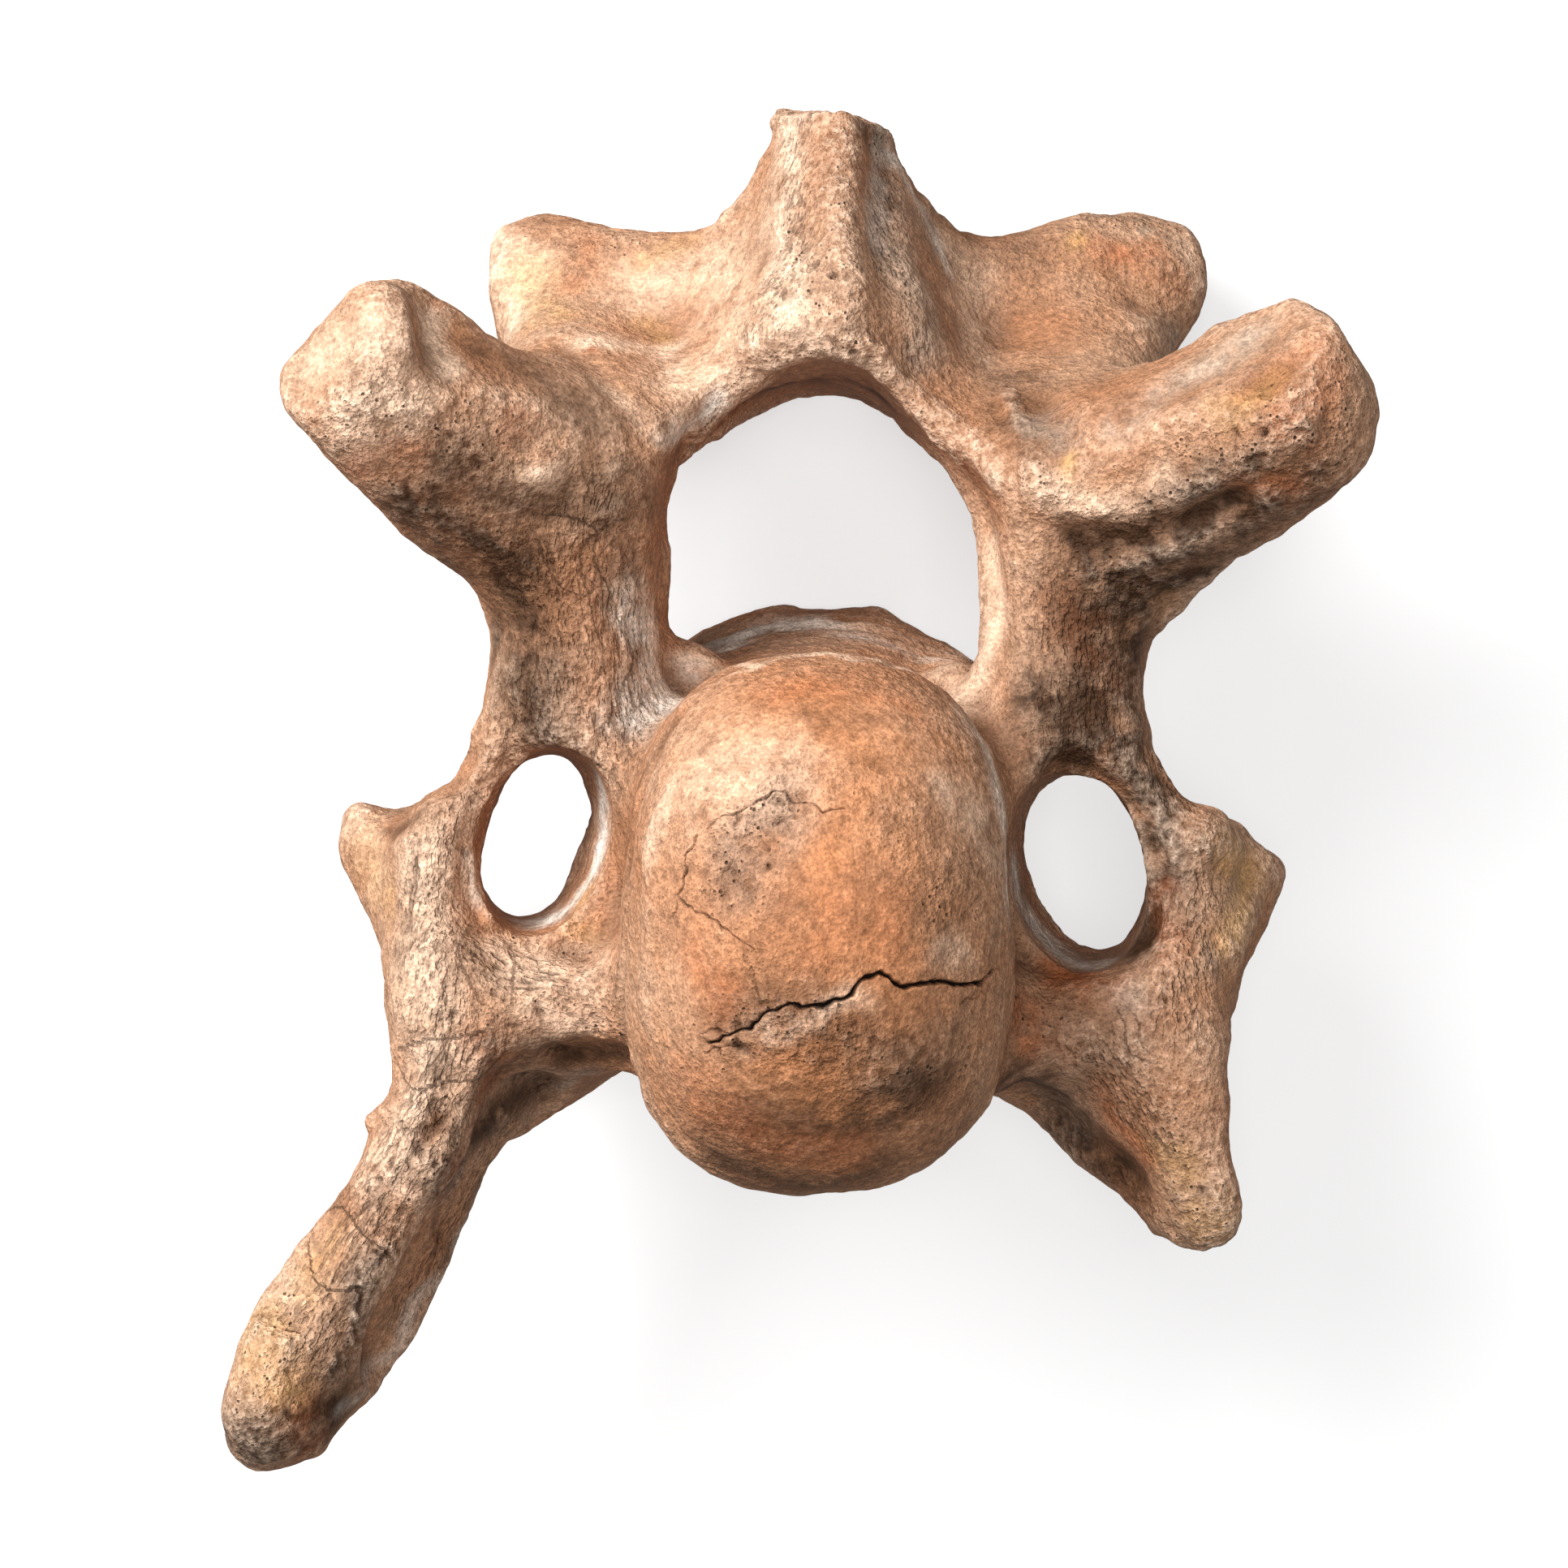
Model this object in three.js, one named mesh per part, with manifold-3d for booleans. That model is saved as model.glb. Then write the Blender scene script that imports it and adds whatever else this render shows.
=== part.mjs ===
import * as THREE from "three";
import { mergeVertices } from "three/addons/utils/BufferGeometryUtils.js";
import Module from "manifold-3d";

// Fossil neck vertebra of a woolly rhinoceros at life size, lying on its rear face.
// Lengths are millimetres. X points to the animal's left, Y to its back and Z to its head.
// Left and right are the animal's own, so the right side of the bone is at minus X.
const ACROSS = [1, 0, 0];
const DORSAL = [0, 1, 0];
const CRANIAL = [0, 0, 1];

// The barrel of the bone: a convex head in front and a hollow socket behind.
// Square is the power of the oval's outline: 2 is a true oval, more is boxier, less is more pointed.
const HEAD = { centre: [5.2, -21.2, 70], radii: [28.2, 39.2, 33], square: 2.7 };
const BARREL = {
  from: [5, -19, 64], to: [5, -10, 8], side: ACROSS, wide: [26, 33], thick: [35, 37], square: 2.3,
};
const REAR_RIM = { centre: [5.5, -9, 5], radii: [36, 39, 13], square: 2.4 };
const SOCKET = { centre: [5.5, -9, -14], radii: [29, 32, 30] };

// The passage for the spinal cord and the blade above it, which is broken off short.
const CANAL = {
  from: [7, 40, 80], to: [7, 40, 0], side: ACROSS,
  wide: [25.5, 25.5], thick: [24.5, 24.5], cap: 40, square: 2.2,
};
const CANAL_CORNER = { point: [24.6, 50.6, 30], normal: [0.72, 0.7, 0] };
const SPINE = {
  from: [8.5, 68, 36], to: [8, 106, 28], side: CRANIAL, wide: [28, 16], thick: [20, 9.5], square: 1.6,
};
const SPINE_BREAK = { point: [6, 106.6, 28], normal: [0.12, 1, 0] };
const SPINE_FLANK = { from: [16, 81, 22], to: [26, 85, 16], side: DORSAL, wide: [8, 5], thick: [8, 7] };

// Each bar runs from one point to another, and may taper.
// Wide is its half width along side, and thick is its half width the other way.
const RIGHT = {
  pedicle: { from: [-29, 0, 42], to: [-33, 50, 46], side: CRANIAL, wide: [23, 22], thick: [13, 13] },
  lamina: { from: [-30, 52, 44], to: [8, 72, 37], side: [0, -0.4, 0.9], wide: [21, 26], thick: [8, 7.5] },
  wing: { from: [-32, 54, 50], to: [-34, 80, 16], side: ACROSS, wide: [12, 12], thick: [9, 8] },
  prezygapophysis: {
    from: [-33, 44, 56], to: [-60, 59, 75], side: [0.5, 0.85, 0], wide: [18, 18.5], thick: [15, 14],
  },
  prezygapophysisFaces: [
    { point: [-61.5, 42.5, 75], normal: [-0.7, -0.71, 0.05] },
    { point: [-67, 68.2, 76], normal: [-0.68, 0.7, 0.2] },
    { point: [-56.6, 71.8, 85], normal: [0.5, 0.86, 0.1] },
  ],
  postzygapophysis: {
    from: [-8, 75, 28], to: [-39, 82.5, 12], side: DORSAL, wide: [13, 11.5], thick: [9, 10],
  },
  postzygapophysisKnob: { centre: [-40.5, 81, 9], radii: [6.5, 9.5, 10] },
  postzygapophysisFaces: [{ point: [-40, 74, 8], normal: [-0.3, -0.85, -0.42] }],
  upperRoot: { from: [-40, 15, 42], to: [-52, -10, 42], side: CRANIAL, wide: [17, 17], thick: [5, 6] },
  outerBar: { from: [-54, -8, 42], to: [-52, -30, 46], side: CRANIAL, wide: [17, 19], thick: [7.5, 7] },
  tubercle: { from: [-53, -14, 37], to: [-65.5, -8.5, 31], side: CRANIAL, wide: [10, 6], thick: [9, 5] },
  flange: { from: [-63.5, -11, 33], to: [-54, -27, 42], side: CRANIAL, wide: [6, 14], thick: [5, 5] },
  lowerRoot: { from: [-22, -34, 45], to: [-52, -34, 46], side: CRANIAL, wide: [20, 20], thick: [11.5, 11] },
  lamellaRoot: {
    from: [-46.5, -32, 46], to: [-53.5, -56, 50], side: [-0.3, 0.1, 0.95],
    wide: [20, 18.5], thick: [8.5, 8.5],
  },
  lamellaBlade: {
    from: [-54.5, -56, 50], to: [-74.7, -95.3, 60], side: [-0.42, 0.1, 0.9],
    wide: [18.5, 13], thick: [8, 8.5],
  },
  web: { from: [-24, -36, 30], to: [-43, -50, 34], side: CRANIAL, wide: [13, 12], thick: [8, 7] },
  buttress: { from: [-27, -16, 16], to: [-37, -32, 22], side: CRANIAL, wide: [10, 10], thick: [6, 7] },
  foramen: {
    from: [-35.5, -8.7, 70], to: [-42.2, -8.2, 12], side: [1, -0.29, 0],
    wide: [11, 8], thick: [14.2, 13], cap: 40,
  },
};
const LEFT = {
  pedicle: { from: [40, -2, 42], to: [46, 46, 46], side: CRANIAL, wide: [23, 22], thick: [12.5, 13] },
  lamina: { from: [46, 46, 44], to: [8, 72, 37], side: [0, -0.4, 0.9], wide: [21, 26], thick: [8, 7.5] },
  wing: { from: [43, 52, 50], to: [50, 80, 16], side: ACROSS, wide: [13, 14], thick: [9, 8] },
  prezygapophysis: {
    from: [46, 43, 56], to: [71, 56.8, 75], side: [-0.5, 0.85, 0], wide: [18, 18], thick: [15, 14],
  },
  prezygapophysisFaces: [{ point: [75.5, 67.3, 86], normal: [-0.455, 0.86, 0.226] }],
  postzygapophysis: {
    from: [18, 75, 28], to: [58, 84, 12], side: DORSAL, wide: [13, 11.5], thick: [9, 10],
  },
  postzygapophysisKnob: { centre: [61.5, 79, 11], radii: [8.5, 10, 11] },
  postzygapophysisFaces: [{ point: [57, 71.5, 8], normal: [0.3, -0.85, -0.42] }],
  upperRoot: { from: [48, 12, 42], to: [58, -8, 42], side: CRANIAL, wide: [17, 17], thick: [4.5, 5] },
  outerBar: { from: [62, -8, 42], to: [62, -28, 45], side: CRANIAL, wide: [17, 19], thick: [8, 8] },
  tubercle: { from: [60, -18, 38], to: [75.2, -14.2, 33], side: CRANIAL, wide: [12, 7], thick: [14, 4.4] },
  flange: { from: [73, -17, 34], to: [63, -32, 42], side: CRANIAL, wide: [7, 14], thick: [4.5, 5] },
  lowerRoot: { from: [34, -37, 45], to: [58, -37, 46], side: CRANIAL, wide: [20, 20], thick: [11, 10] },
  lamellaRoot: {
    from: [51, -36, 46], to: [56, -50, 49], side: [0.4, 0.1, 0.9], wide: [21, 18], thick: [10, 9],
  },
  lamellaBlade: {
    from: [55, -46, 49], to: [61, -64.5, 54], side: [0.4, 0.1, 0.9], wide: [18, 14], thick: [9, 6],
  },
  web: { from: [34, -38, 30], to: [52, -56, 36], side: CRANIAL, wide: [13, 11], thick: [8, 6] },
  buttress: { from: [38, -20, 16], to: [46, -36, 22], side: CRANIAL, wide: [10, 10], thick: [6, 7] },
  foramen: {
    from: [44.3, -12.7, 70], to: [50, -12, 12], side: [1, 0.22, 0],
    wide: [11, 9.5], thick: [15.2, 14.2], cap: 40,
  },
};
const PROCESS_BARS = [
  "upperRoot", "outerBar", "tubercle", "flange", "lowerRoot",
  "lamellaRoot", "lamellaBlade", "web", "buttress",
];

// How softly the regions run into each other, and how far the carved edges are worn round.
const CENTRUM_BLEND = 8;
const ARCH_BLEND = 9;
const PROCESS_BLEND = 7;
const WHOLE_BLEND = 9;
const FACET_EDGE = 4;
const BREAK_EDGE = 2;
const SOCKET_EDGE = 3;
const CANAL_EDGE = 4;
const FORAMEN_EDGE = 3;
const RESTING_EDGE = 0.5;

// The bone grew in one piece. Thin cuts part it where its named regions meet.
// Each cut goes through the piece that holds the named region, in this order.
// Reach is the half length of a cut along side, and then the other way.
const GAP = 0.3;
const SPINE_FOOT_NORMAL = [0, 0.916, 0.4];
const SPINE_FOOT_SLOPE = [0, -0.4, 0.916];
const CUTS = [
  {
    region: "neural_arch_right", at: [-32.6, 14.3, 46],
    normal: [-0.366, 1, 0.14], side: ACROSS, reach: [22.5, 36],
  },
  {
    region: "neural_arch_left", at: [45, 14.1, 46],
    normal: [0.39, 1, 0.14], side: ACROSS, reach: [21.5, 36],
  },
  {
    region: "postzygapophysis_right", at: [-24.6, 72.2, 23.4],
    normal: [-0.62, 0.45, -0.64], side: DORSAL, reach: [22, 32],
  },
  {
    region: "postzygapophysis_left", at: [42, 76, 22],
    normal: [0.72, 0.3, -0.62], side: DORSAL, reach: [24, 36],
  },
  {
    region: "neural_spine", at: [8, 80.5, 39.1],
    normal: SPINE_FOOT_NORMAL, side: ACROSS, reach: [45, 50],
  },
  {
    region: "neural_arch_right", at: [8, 67.7, 33.5],
    normal: ACROSS, side: SPINE_FOOT_SLOPE, reach: [45, 20],
  },
  {
    region: "prezygapophysis_right", at: [-44, 50, 63],
    normal: [-0.75, 0.42, 0.5], side: [0.5, 0.85, 0], reach: [26, 26],
  },
  {
    region: "prezygapophysis_left", at: [56, 48, 63],
    normal: [0.75, 0.4, 0.52], side: [-0.5, 0.85, 0], reach: [26, 26],
  },
  {
    region: "transverse_process_right", at: [-28.5, -17, 43],
    normal: [1, 0, -0.16], side: DORSAL, reach: [38, 50],
  },
  {
    region: "transverse_process_left", at: [38.5, -19, 43],
    normal: [1, 0, 0.16], side: DORSAL, reach: [40, 50],
  },
  {
    region: "ventral_lamella_right", at: [-46, -43, 46],
    normal: [-0.28, -0.96, 0], side: CRANIAL, reach: [45, 30],
  },
  {
    region: "ventral_lamella_left", at: [52, -47, 46],
    normal: [0.2, -0.98, 0], side: CRANIAL, reach: [45, 30],
  },
];

// A point inside each region tells which piece it is.
const BONE_COLOUR = 0xa5774f;
const HEAD_COLOUR = 0xb27a52;
const PALE_COLOUR = 0xb98f6a;
const REGIONS = {
  centrum: { inside: [5, -20, 50], colour: HEAD_COLOUR },
  neural_arch_right: { inside: [-31, 35, 44], colour: BONE_COLOUR },
  neural_arch_left: { inside: [45, 30, 44], colour: BONE_COLOUR },
  neural_spine: { inside: [8, 95, 30], colour: PALE_COLOUR },
  prezygapophysis_right: { inside: [-60, 58, 76], colour: BONE_COLOUR },
  prezygapophysis_left: { inside: [72, 56, 76], colour: BONE_COLOUR },
  postzygapophysis_right: { inside: [-38, 82, 12], colour: PALE_COLOUR },
  postzygapophysis_left: { inside: [57, 84, 12], colour: PALE_COLOUR },
  transverse_process_right: { inside: [-53, -18, 44], colour: BONE_COLOUR },
  transverse_process_left: { inside: [62, -18, 42], colour: BONE_COLOUR },
  ventral_lamella_right: { inside: [-66, -78, 55], colour: BONE_COLOUR },
  ventral_lamella_left: { inside: [60, -58, 51], colour: BONE_COLOUR },
};
const BONE_ROUGHNESS = 0.8;

// The grid that the surface is sampled on, and how its points are brought onto the surface.
const CELL = 1.7;
const SPACE_LOW = [-92, -112, -6];
const SPACE_HIGH = [98, 116, 112];
const SURFACE_STEPS = 3;
const SLOPE_PROBE = CELL / 40;
const LONGEST_STEP = CELL / 3;
const LEAST_STEEPNESS = 0.2;

// How many triangles are kept before the cuts, and how far thinning them out may change their shape.
const TRIANGLES = 9500;
const LONGEST_SHIFT = 2 * CELL;
const LEAST_TURN = 0.5;
const LEAST_AREA = 0.05;
const TINY = 1e-6;

// Shapes are functions that give a point's distance to a surface, negative inside.
function axesOf(along, side) {
  const third = new THREE.Vector3(...along).normalize();
  const first = new THREE.Vector3(...side);
  first.addScaledVector(third, -first.dot(third)).normalize();
  const second = new THREE.Vector3().crossVectors(third, first);
  return [first, second, third];
}

function ovalDistance(x, y, z, xRadius, yRadius, zRadius, square) {
  const a = Math.abs(x) / xRadius;
  const b = Math.abs(y) / yRadius;
  const c = Math.abs(z) / zRadius;
  const outline = square === 2 ? Math.hypot(a, b) : (a ** square + b ** square) ** (1 / square);
  const scale = Math.sqrt(outline * outline + c * c);
  if (scale < TINY) return -Math.min(xRadius, yRadius, zRadius);
  const bend = outline < TINY ? 0 : outline ** (2 - square);
  const slopeX = (bend * a ** (square - 1)) / xRadius;
  const slopeY = (bend * b ** (square - 1)) / yRadius;
  const slopeZ = c / zRadius;
  const slope = Math.sqrt(slopeX * slopeX + slopeY * slopeY + slopeZ * slopeZ);
  return (scale * (scale - 1)) / Math.max(slope, TINY);
}

function ovoid({ centre, radii, square = 2 }) {
  return (x, y, z) => ovalDistance(x - centre[0], y - centre[1], z - centre[2], ...radii, square);
}

function bar({ from, to, side, wide, thick, cap, square = 2 }) {
  const run = new THREE.Vector3(...to).sub(new THREE.Vector3(...from));
  const length = run.length();
  const [first, second, third] = axesOf(run, side);
  return (x, y, z) => {
    const a = x - from[0];
    const b = y - from[1];
    const c = z - from[2];
    const along = a * third.x + b * third.y + c * third.z;
    const share = Math.min(Math.max(along / length, 0), 1);
    const width = wide[0] + (wide[1] - wide[0]) * share;
    const depth = thick[0] + (thick[1] - thick[0]) * share;
    const across = a * first.x + b * first.y + c * first.z;
    const through = a * second.x + b * second.y + c * second.z;
    const end = cap ?? Math.min(width, depth);
    return ovalDistance(across, through, along - share * length, width, depth, end, square);
  };
}

function beyond({ point, normal }) {
  const n = new THREE.Vector3(...normal).normalize();
  const offset = n.dot(new THREE.Vector3(...point));
  return (x, y, z) => offset - n.x * x - n.y * y - n.z * z;
}

function smoothMin(a, b, softness) {
  const overlap = Math.max(softness - Math.abs(a - b), 0) / softness;
  return Math.min(a, b) - (overlap * overlap * softness) / 4;
}

function blend(softness, ...shapes) {
  return (x, y, z) => {
    let distance = Infinity;
    for (const shape of shapes) distance = smoothMin(distance, shape(x, y, z), softness);
    return distance;
  };
}

function carve(softness, body, ...hollows) {
  return (x, y, z) => {
    let distance = body(x, y, z);
    for (const hollow of hollows) distance = -smoothMin(-distance, hollow(x, y, z), softness);
    return distance;
  };
}

// The bone
function archSide(sizes) {
  const front = carve(FACET_EDGE, bar(sizes.prezygapophysis), ...sizes.prezygapophysisFaces.map(beyond));
  const rearEnd = blend(ARCH_BLEND, bar(sizes.postzygapophysis), ovoid(sizes.postzygapophysisKnob));
  const rear = carve(FACET_EDGE, rearEnd, ...sizes.postzygapophysisFaces.map(beyond));
  return [bar(sizes.pedicle), bar(sizes.lamina), bar(sizes.wing), front, rear];
}

function processSide(sizes) {
  return blend(PROCESS_BLEND, ...PROCESS_BARS.map((name) => bar(sizes[name])));
}

const barrel = blend(CENTRUM_BLEND, ovoid(HEAD), bar(BARREL), ovoid(REAR_RIM));
const centrum = carve(SOCKET_EDGE, barrel, ovoid(SOCKET));
const spine = carve(BREAK_EDGE, bar(SPINE), beyond(SPINE_BREAK));
const roof = blend(ARCH_BLEND, ...archSide(RIGHT), ...archSide(LEFT), bar(SPINE_FLANK), spine);
const canal = carve(CANAL_EDGE, bar(CANAL), beyond(CANAL_CORNER));
const arch = carve(CANAL_EDGE, roof, canal);
const joined = blend(WHOLE_BLEND, centrum, arch, processSide(RIGHT), processSide(LEFT));
const pierced = carve(FORAMEN_EDGE, joined, bar(RIGHT.foramen), bar(LEFT.foramen));
const bone = carve(RESTING_EDGE, pierced, beyond({ point: [0, 0, 0], normal: [0, 0, -1] }));

// The surface gets one vertex in every grid cell that it crosses, moved onto the surface.
// Where two parts of it come within a cell of each other, the gap between them is filled.
const CORNERS = Array.from({ length: 8 }, (_, corner) => [0, 1, 2].map((axis) => (corner >> axis) & 1));
const EDGES = CORNERS.flatMap((low, corner) =>
  [0, 1, 2].filter((axis) => !low[axis]).map((axis) => [corner, corner | (1 << axis)]));

function ontoSurface(shape, start) {
  let point = start;
  for (let step = 0; step < SURFACE_STEPS; step++) {
    const slope = point.map((_, axis) => {
      const ahead = [...point];
      const behind = [...point];
      ahead[axis] += SLOPE_PROBE;
      behind[axis] -= SLOPE_PROBE;
      return (shape(...ahead) - shape(...behind)) / (2 * SLOPE_PROBE);
    });
    const steepness = Math.max(slope[0] ** 2 + slope[1] ** 2 + slope[2] ** 2, LEAST_STEEPNESS);
    const move = THREE.MathUtils.clamp(shape(...point) / steepness, -LONGEST_STEP, LONGEST_STEP);
    point = point.map((value, axis) => value - move * slope[axis]);
  }
  return point;
}

function polygonise(shape) {
  const size = SPACE_LOW.map((low, axis) => Math.ceil((SPACE_HIGH[axis] - low) / CELL) + 1);
  const at = (i, j, k) => i + size[0] * (j + size[1] * k);
  const place = (i, j, k) => [SPACE_LOW[0] + i * CELL, SPACE_LOW[1] + j * CELL, SPACE_LOW[2] + k * CELL];
  const everyCell = (visit) => {
    for (let k = 0; k < size[2]; k++) {
      for (let j = 0; j < size[1]; j++) {
        for (let i = 0; i < size[0]; i++) visit(i, j, k);
      }
    }
  };
  const value = new Float32Array(size[0] * size[1] * size[2]);
  everyCell((i, j, k) => {
    value[at(i, j, k)] = shape(...place(i, j, k));
  });
  const axisSteps = [at(1, 0, 0), at(0, 1, 0), at(0, 0, 1)];
  for (let filled = true; filled;) {
    filled = false;
    everyCell((i, j, k) => {
      for (let axis = 0; axis < 3; axis++) {
        const one = axisSteps[(axis + 1) % 3];
        const two = axisSteps[(axis + 2) % 3];
        const here = at(i, j, k);
        const ring = [here, here + one, here + one + two, here + two];
        const outer = ring.filter((cell) => value[cell] >= 0);
        if (outer.length !== 2 || (ring.indexOf(outer[1]) - ring.indexOf(outer[0])) !== 2) continue;
        value[value[outer[0]] < value[outer[1]] ? outer[0] : outer[1]] = -TINY;
        filled = true;
      }
    });
  }
  const points = [];
  const vertexOf = new Int32Array(value.length).fill(-1);
  const cornerSteps = CORNERS.map((corner) => at(...corner));
  everyCell((i, j, k) => {
    if (i + 1 === size[0] || j + 1 === size[1] || k + 1 === size[2]) return;
    const here = at(i, j, k);
    const middle = new THREE.Vector3();
    let crossings = 0;
    for (const [a, b] of EDGES) {
      const low = value[here + cornerSteps[a]];
      const high = value[here + cornerSteps[b]];
      if (low < 0 === high < 0) continue;
      const start = new THREE.Vector3(...CORNERS[a]);
      middle.add(start.lerp(new THREE.Vector3(...CORNERS[b]), low / (low - high)));
      crossings++;
    }
    if (!crossings) return;
    middle.divideScalar(crossings);
    vertexOf[here] = points.length;
    points.push(ontoSurface(shape, place(i + middle.x, j + middle.y, k + middle.z)));
  });
  const faces = [];
  everyCell((i, j, k) => {
    const here = at(i, j, k);
    const inside = value[here] < 0;
    for (let axis = 0; axis < 3; axis++) {
      if ([i, j, k][axis] + 1 === size[axis]) continue;
      if (inside === value[here + axisSteps[axis]] < 0) continue;
      const one = axisSteps[(axis + 1) % 3];
      const two = axisSteps[(axis + 2) % 3];
      const ring = [here - one - two, here - two, here, here - one].map((cell) => vertexOf[cell]);
      if (!inside) ring.reverse();
      faces.push([ring[0], ring[1], ring[2]], [ring[0], ring[2], ring[3]]);
    }
  });
  return { points, faces };
}

// Edges collapse in the order of how little that moves the surface, until few enough triangles are left.
function edgeQueue() {
  const heap = [];
  const swap = (a, b) => {
    [heap[a], heap[b]] = [heap[b], heap[a]];
  };
  const push = (entry) => {
    heap.push(entry);
    let child = heap.length - 1;
    while (child && heap[child].cost < heap[(child - 1) >> 1].cost) {
      swap(child, (child - 1) >> 1);
      child = (child - 1) >> 1;
    }
  };
  const pop = () => {
    swap(0, heap.length - 1);
    const least = heap.pop();
    let parent = 0;
    for (let child = 1; child < heap.length; child = 2 * parent + 1) {
      if (child + 1 < heap.length && heap[child + 1].cost < heap[child].cost) child++;
      if (heap[parent].cost <= heap[child].cost) break;
      swap(parent, child);
      parent = child;
    }
    return least;
  };
  return { push, pop, isEmpty: () => !heap.length };
}

function movedDistance(q, [x, y, z]) {
  const squares = q[0] * x * x + q[4] * y * y + q[7] * z * z + q[9];
  const products = q[1] * x * y + q[2] * x * z + q[5] * y * z + q[3] * x + q[6] * y + q[8] * z;
  return squares + 2 * products;
}

function simplify({ points, faces }, wanted) {
  const touching = points.map(() => new Set());
  const quadrics = points.map(() => new Float64Array(10));
  const ages = new Int32Array(points.length);
  const queue = edgeQueue();
  const corner = (index) => new THREE.Vector3(...points[index]);
  faces.forEach((face, number) => {
    const triangle = new THREE.Triangle(...face.map(corner));
    const normal = triangle.getNormal(new THREE.Vector3());
    const area = triangle.getArea();
    const plane = [normal.x, normal.y, normal.z, -normal.dot(triangle.a)];
    for (const vertex of face) {
      touching[vertex].add(number);
      const quadric = quadrics[vertex];
      let slot = 0;
      for (let row = 0; row < 4; row++) {
        for (let column = row; column < 4; column++) quadric[slot++] += area * plane[row] * plane[column];
      }
    }
  });
  const neighbours = (vertex) => {
    const ring = new Set();
    for (const number of touching[vertex]) faces[number].forEach((other) => ring.add(other));
    ring.delete(vertex);
    return ring;
  };
  const offer = (a, b) => {
    const q = quadrics[a].map((value, slot) => value + quadrics[b][slot]);
    const matrix = new THREE.Matrix3(q[0], q[1], q[2], q[1], q[4], q[5], q[2], q[5], q[7]);
    const middle = corner(a).lerp(corner(b), 0.5);
    const spots = [points[a], points[b], middle.toArray()];
    if (Math.abs(matrix.determinant()) > TINY) {
      const best = new THREE.Vector3(-q[3], -q[6], -q[8]).applyMatrix3(matrix.invert());
      if (best.distanceTo(middle) < LONGEST_SHIFT) spots.push(best.toArray());
    }
    const costs = spots.map((spot) => movedDistance(q, spot));
    const cost = Math.min(...costs);
    queue.push({ cost, spot: spots[costs.indexOf(cost)], a, b, age: ages[a] + ages[b] });
  };
  const turnsOver = (vertex, other, spot) => {
    for (const number of touching[vertex]) {
      const face = faces[number];
      if (face.includes(other)) continue;
      const before = new THREE.Triangle(...face.map(corner));
      const after = new THREE.Triangle(
        ...face.map((index) => (index === vertex ? new THREE.Vector3(...spot) : corner(index))));
      const turn = before.getNormal(new THREE.Vector3()).dot(after.getNormal(new THREE.Vector3()));
      if (turn < LEAST_TURN || after.getArea() < LEAST_AREA) return true;
    }
    return false;
  };
  points.forEach((_, a) => neighbours(a).forEach((b) => a < b && offer(a, b)));
  let left = faces.length;
  while (left > wanted && !queue.isEmpty()) {
    const { a, b, spot, age } = queue.pop();
    if (!touching[a].size || !touching[b].size || ages[a] + ages[b] !== age) continue;
    const ring = neighbours(a);
    const shared = [...neighbours(b)].filter((vertex) => ring.has(vertex));
    if (!ring.has(b) || shared.length !== 2) continue;
    if (turnsOver(a, b, spot) || turnsOver(b, a, spot)) continue;
    for (const number of [...touching[b]]) {
      if (faces[number].includes(a)) {
        faces[number].forEach((vertex) => touching[vertex].delete(number));
        faces[number] = null;
        left--;
      } else {
        faces[number] = faces[number].map((vertex) => (vertex === b ? a : vertex));
        touching[a].add(number);
      }
    }
    touching[b].clear();
    points[a] = spot;
    quadrics[a] = quadrics[a].map((value, slot) => value + quadrics[b][slot]);
    ages[a] += 1 + ages[b];
    neighbours(a).forEach((vertex) => offer(a, vertex));
  }
  return { points, faces: faces.filter(Boolean) };
}

// The thin cuts
const kernel = await Module();
kernel.setup();

function solidOf(vertProperties, triVerts) {
  return new kernel.Manifold(new kernel.Mesh({ numProp: 3, vertProperties, triVerts }));
}

function slab({ at, normal, side, reach }) {
  const box = new THREE.BoxGeometry(2 * reach[0], 2 * reach[1], GAP);
  box.deleteAttribute("normal");
  box.deleteAttribute("uv");
  box.applyMatrix4(new THREE.Matrix4().makeBasis(...axesOf(normal, side)).setPosition(...at));
  const welded = mergeVertices(box);
  return solidOf(welded.attributes.position.array, Uint32Array.from(welded.index.array));
}

function indexHolding(pieces, region) {
  const seed = slab({ at: REGIONS[region].inside, normal: CRANIAL, side: ACROSS, reach: [GAP, GAP] });
  return pieces.findIndex((piece) => piece.intersect(seed).volume() > 0);
}

const { points, faces } = simplify(polygonise(bone), TRIANGLES);
const whole = solidOf(Float32Array.from(points.flat()), Uint32Array.from(faces.flat()));
const pieces = [whole];
for (const cut of CUTS) {
  const index = indexHolding(pieces, cut.region);
  pieces.splice(index, 1, ...pieces[index].subtract(slab(cut)).decompose());
}

// The origin is on the floor below the middle of the bone.
const { min, max } = whole.boundingBox();
const origin = [-(min[0] + max[0]) / 2, -(min[1] + max[1]) / 2, -min[2]];
const vertebra = new THREE.Group();
for (const [name, { colour }] of Object.entries(REGIONS)) {
  const { vertProperties, triVerts } = pieces[indexHolding(pieces, name)].getMesh();
  const geometry = new THREE.BufferGeometry();
  geometry.setAttribute("position", new THREE.BufferAttribute(vertProperties, 3));
  geometry.setIndex(new THREE.BufferAttribute(triVerts, 1));
  geometry.translate(...origin);
  geometry.computeVertexNormals();
  const finish = { color: colour, roughness: BONE_ROUGHNESS, metalness: 0 };
  const material = new THREE.MeshStandardMaterial(finish);
  const mesh = new THREE.Mesh(geometry, material);
  mesh.name = name;
  vertebra.add(mesh);
}
export default vertebra;
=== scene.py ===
import math

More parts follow.
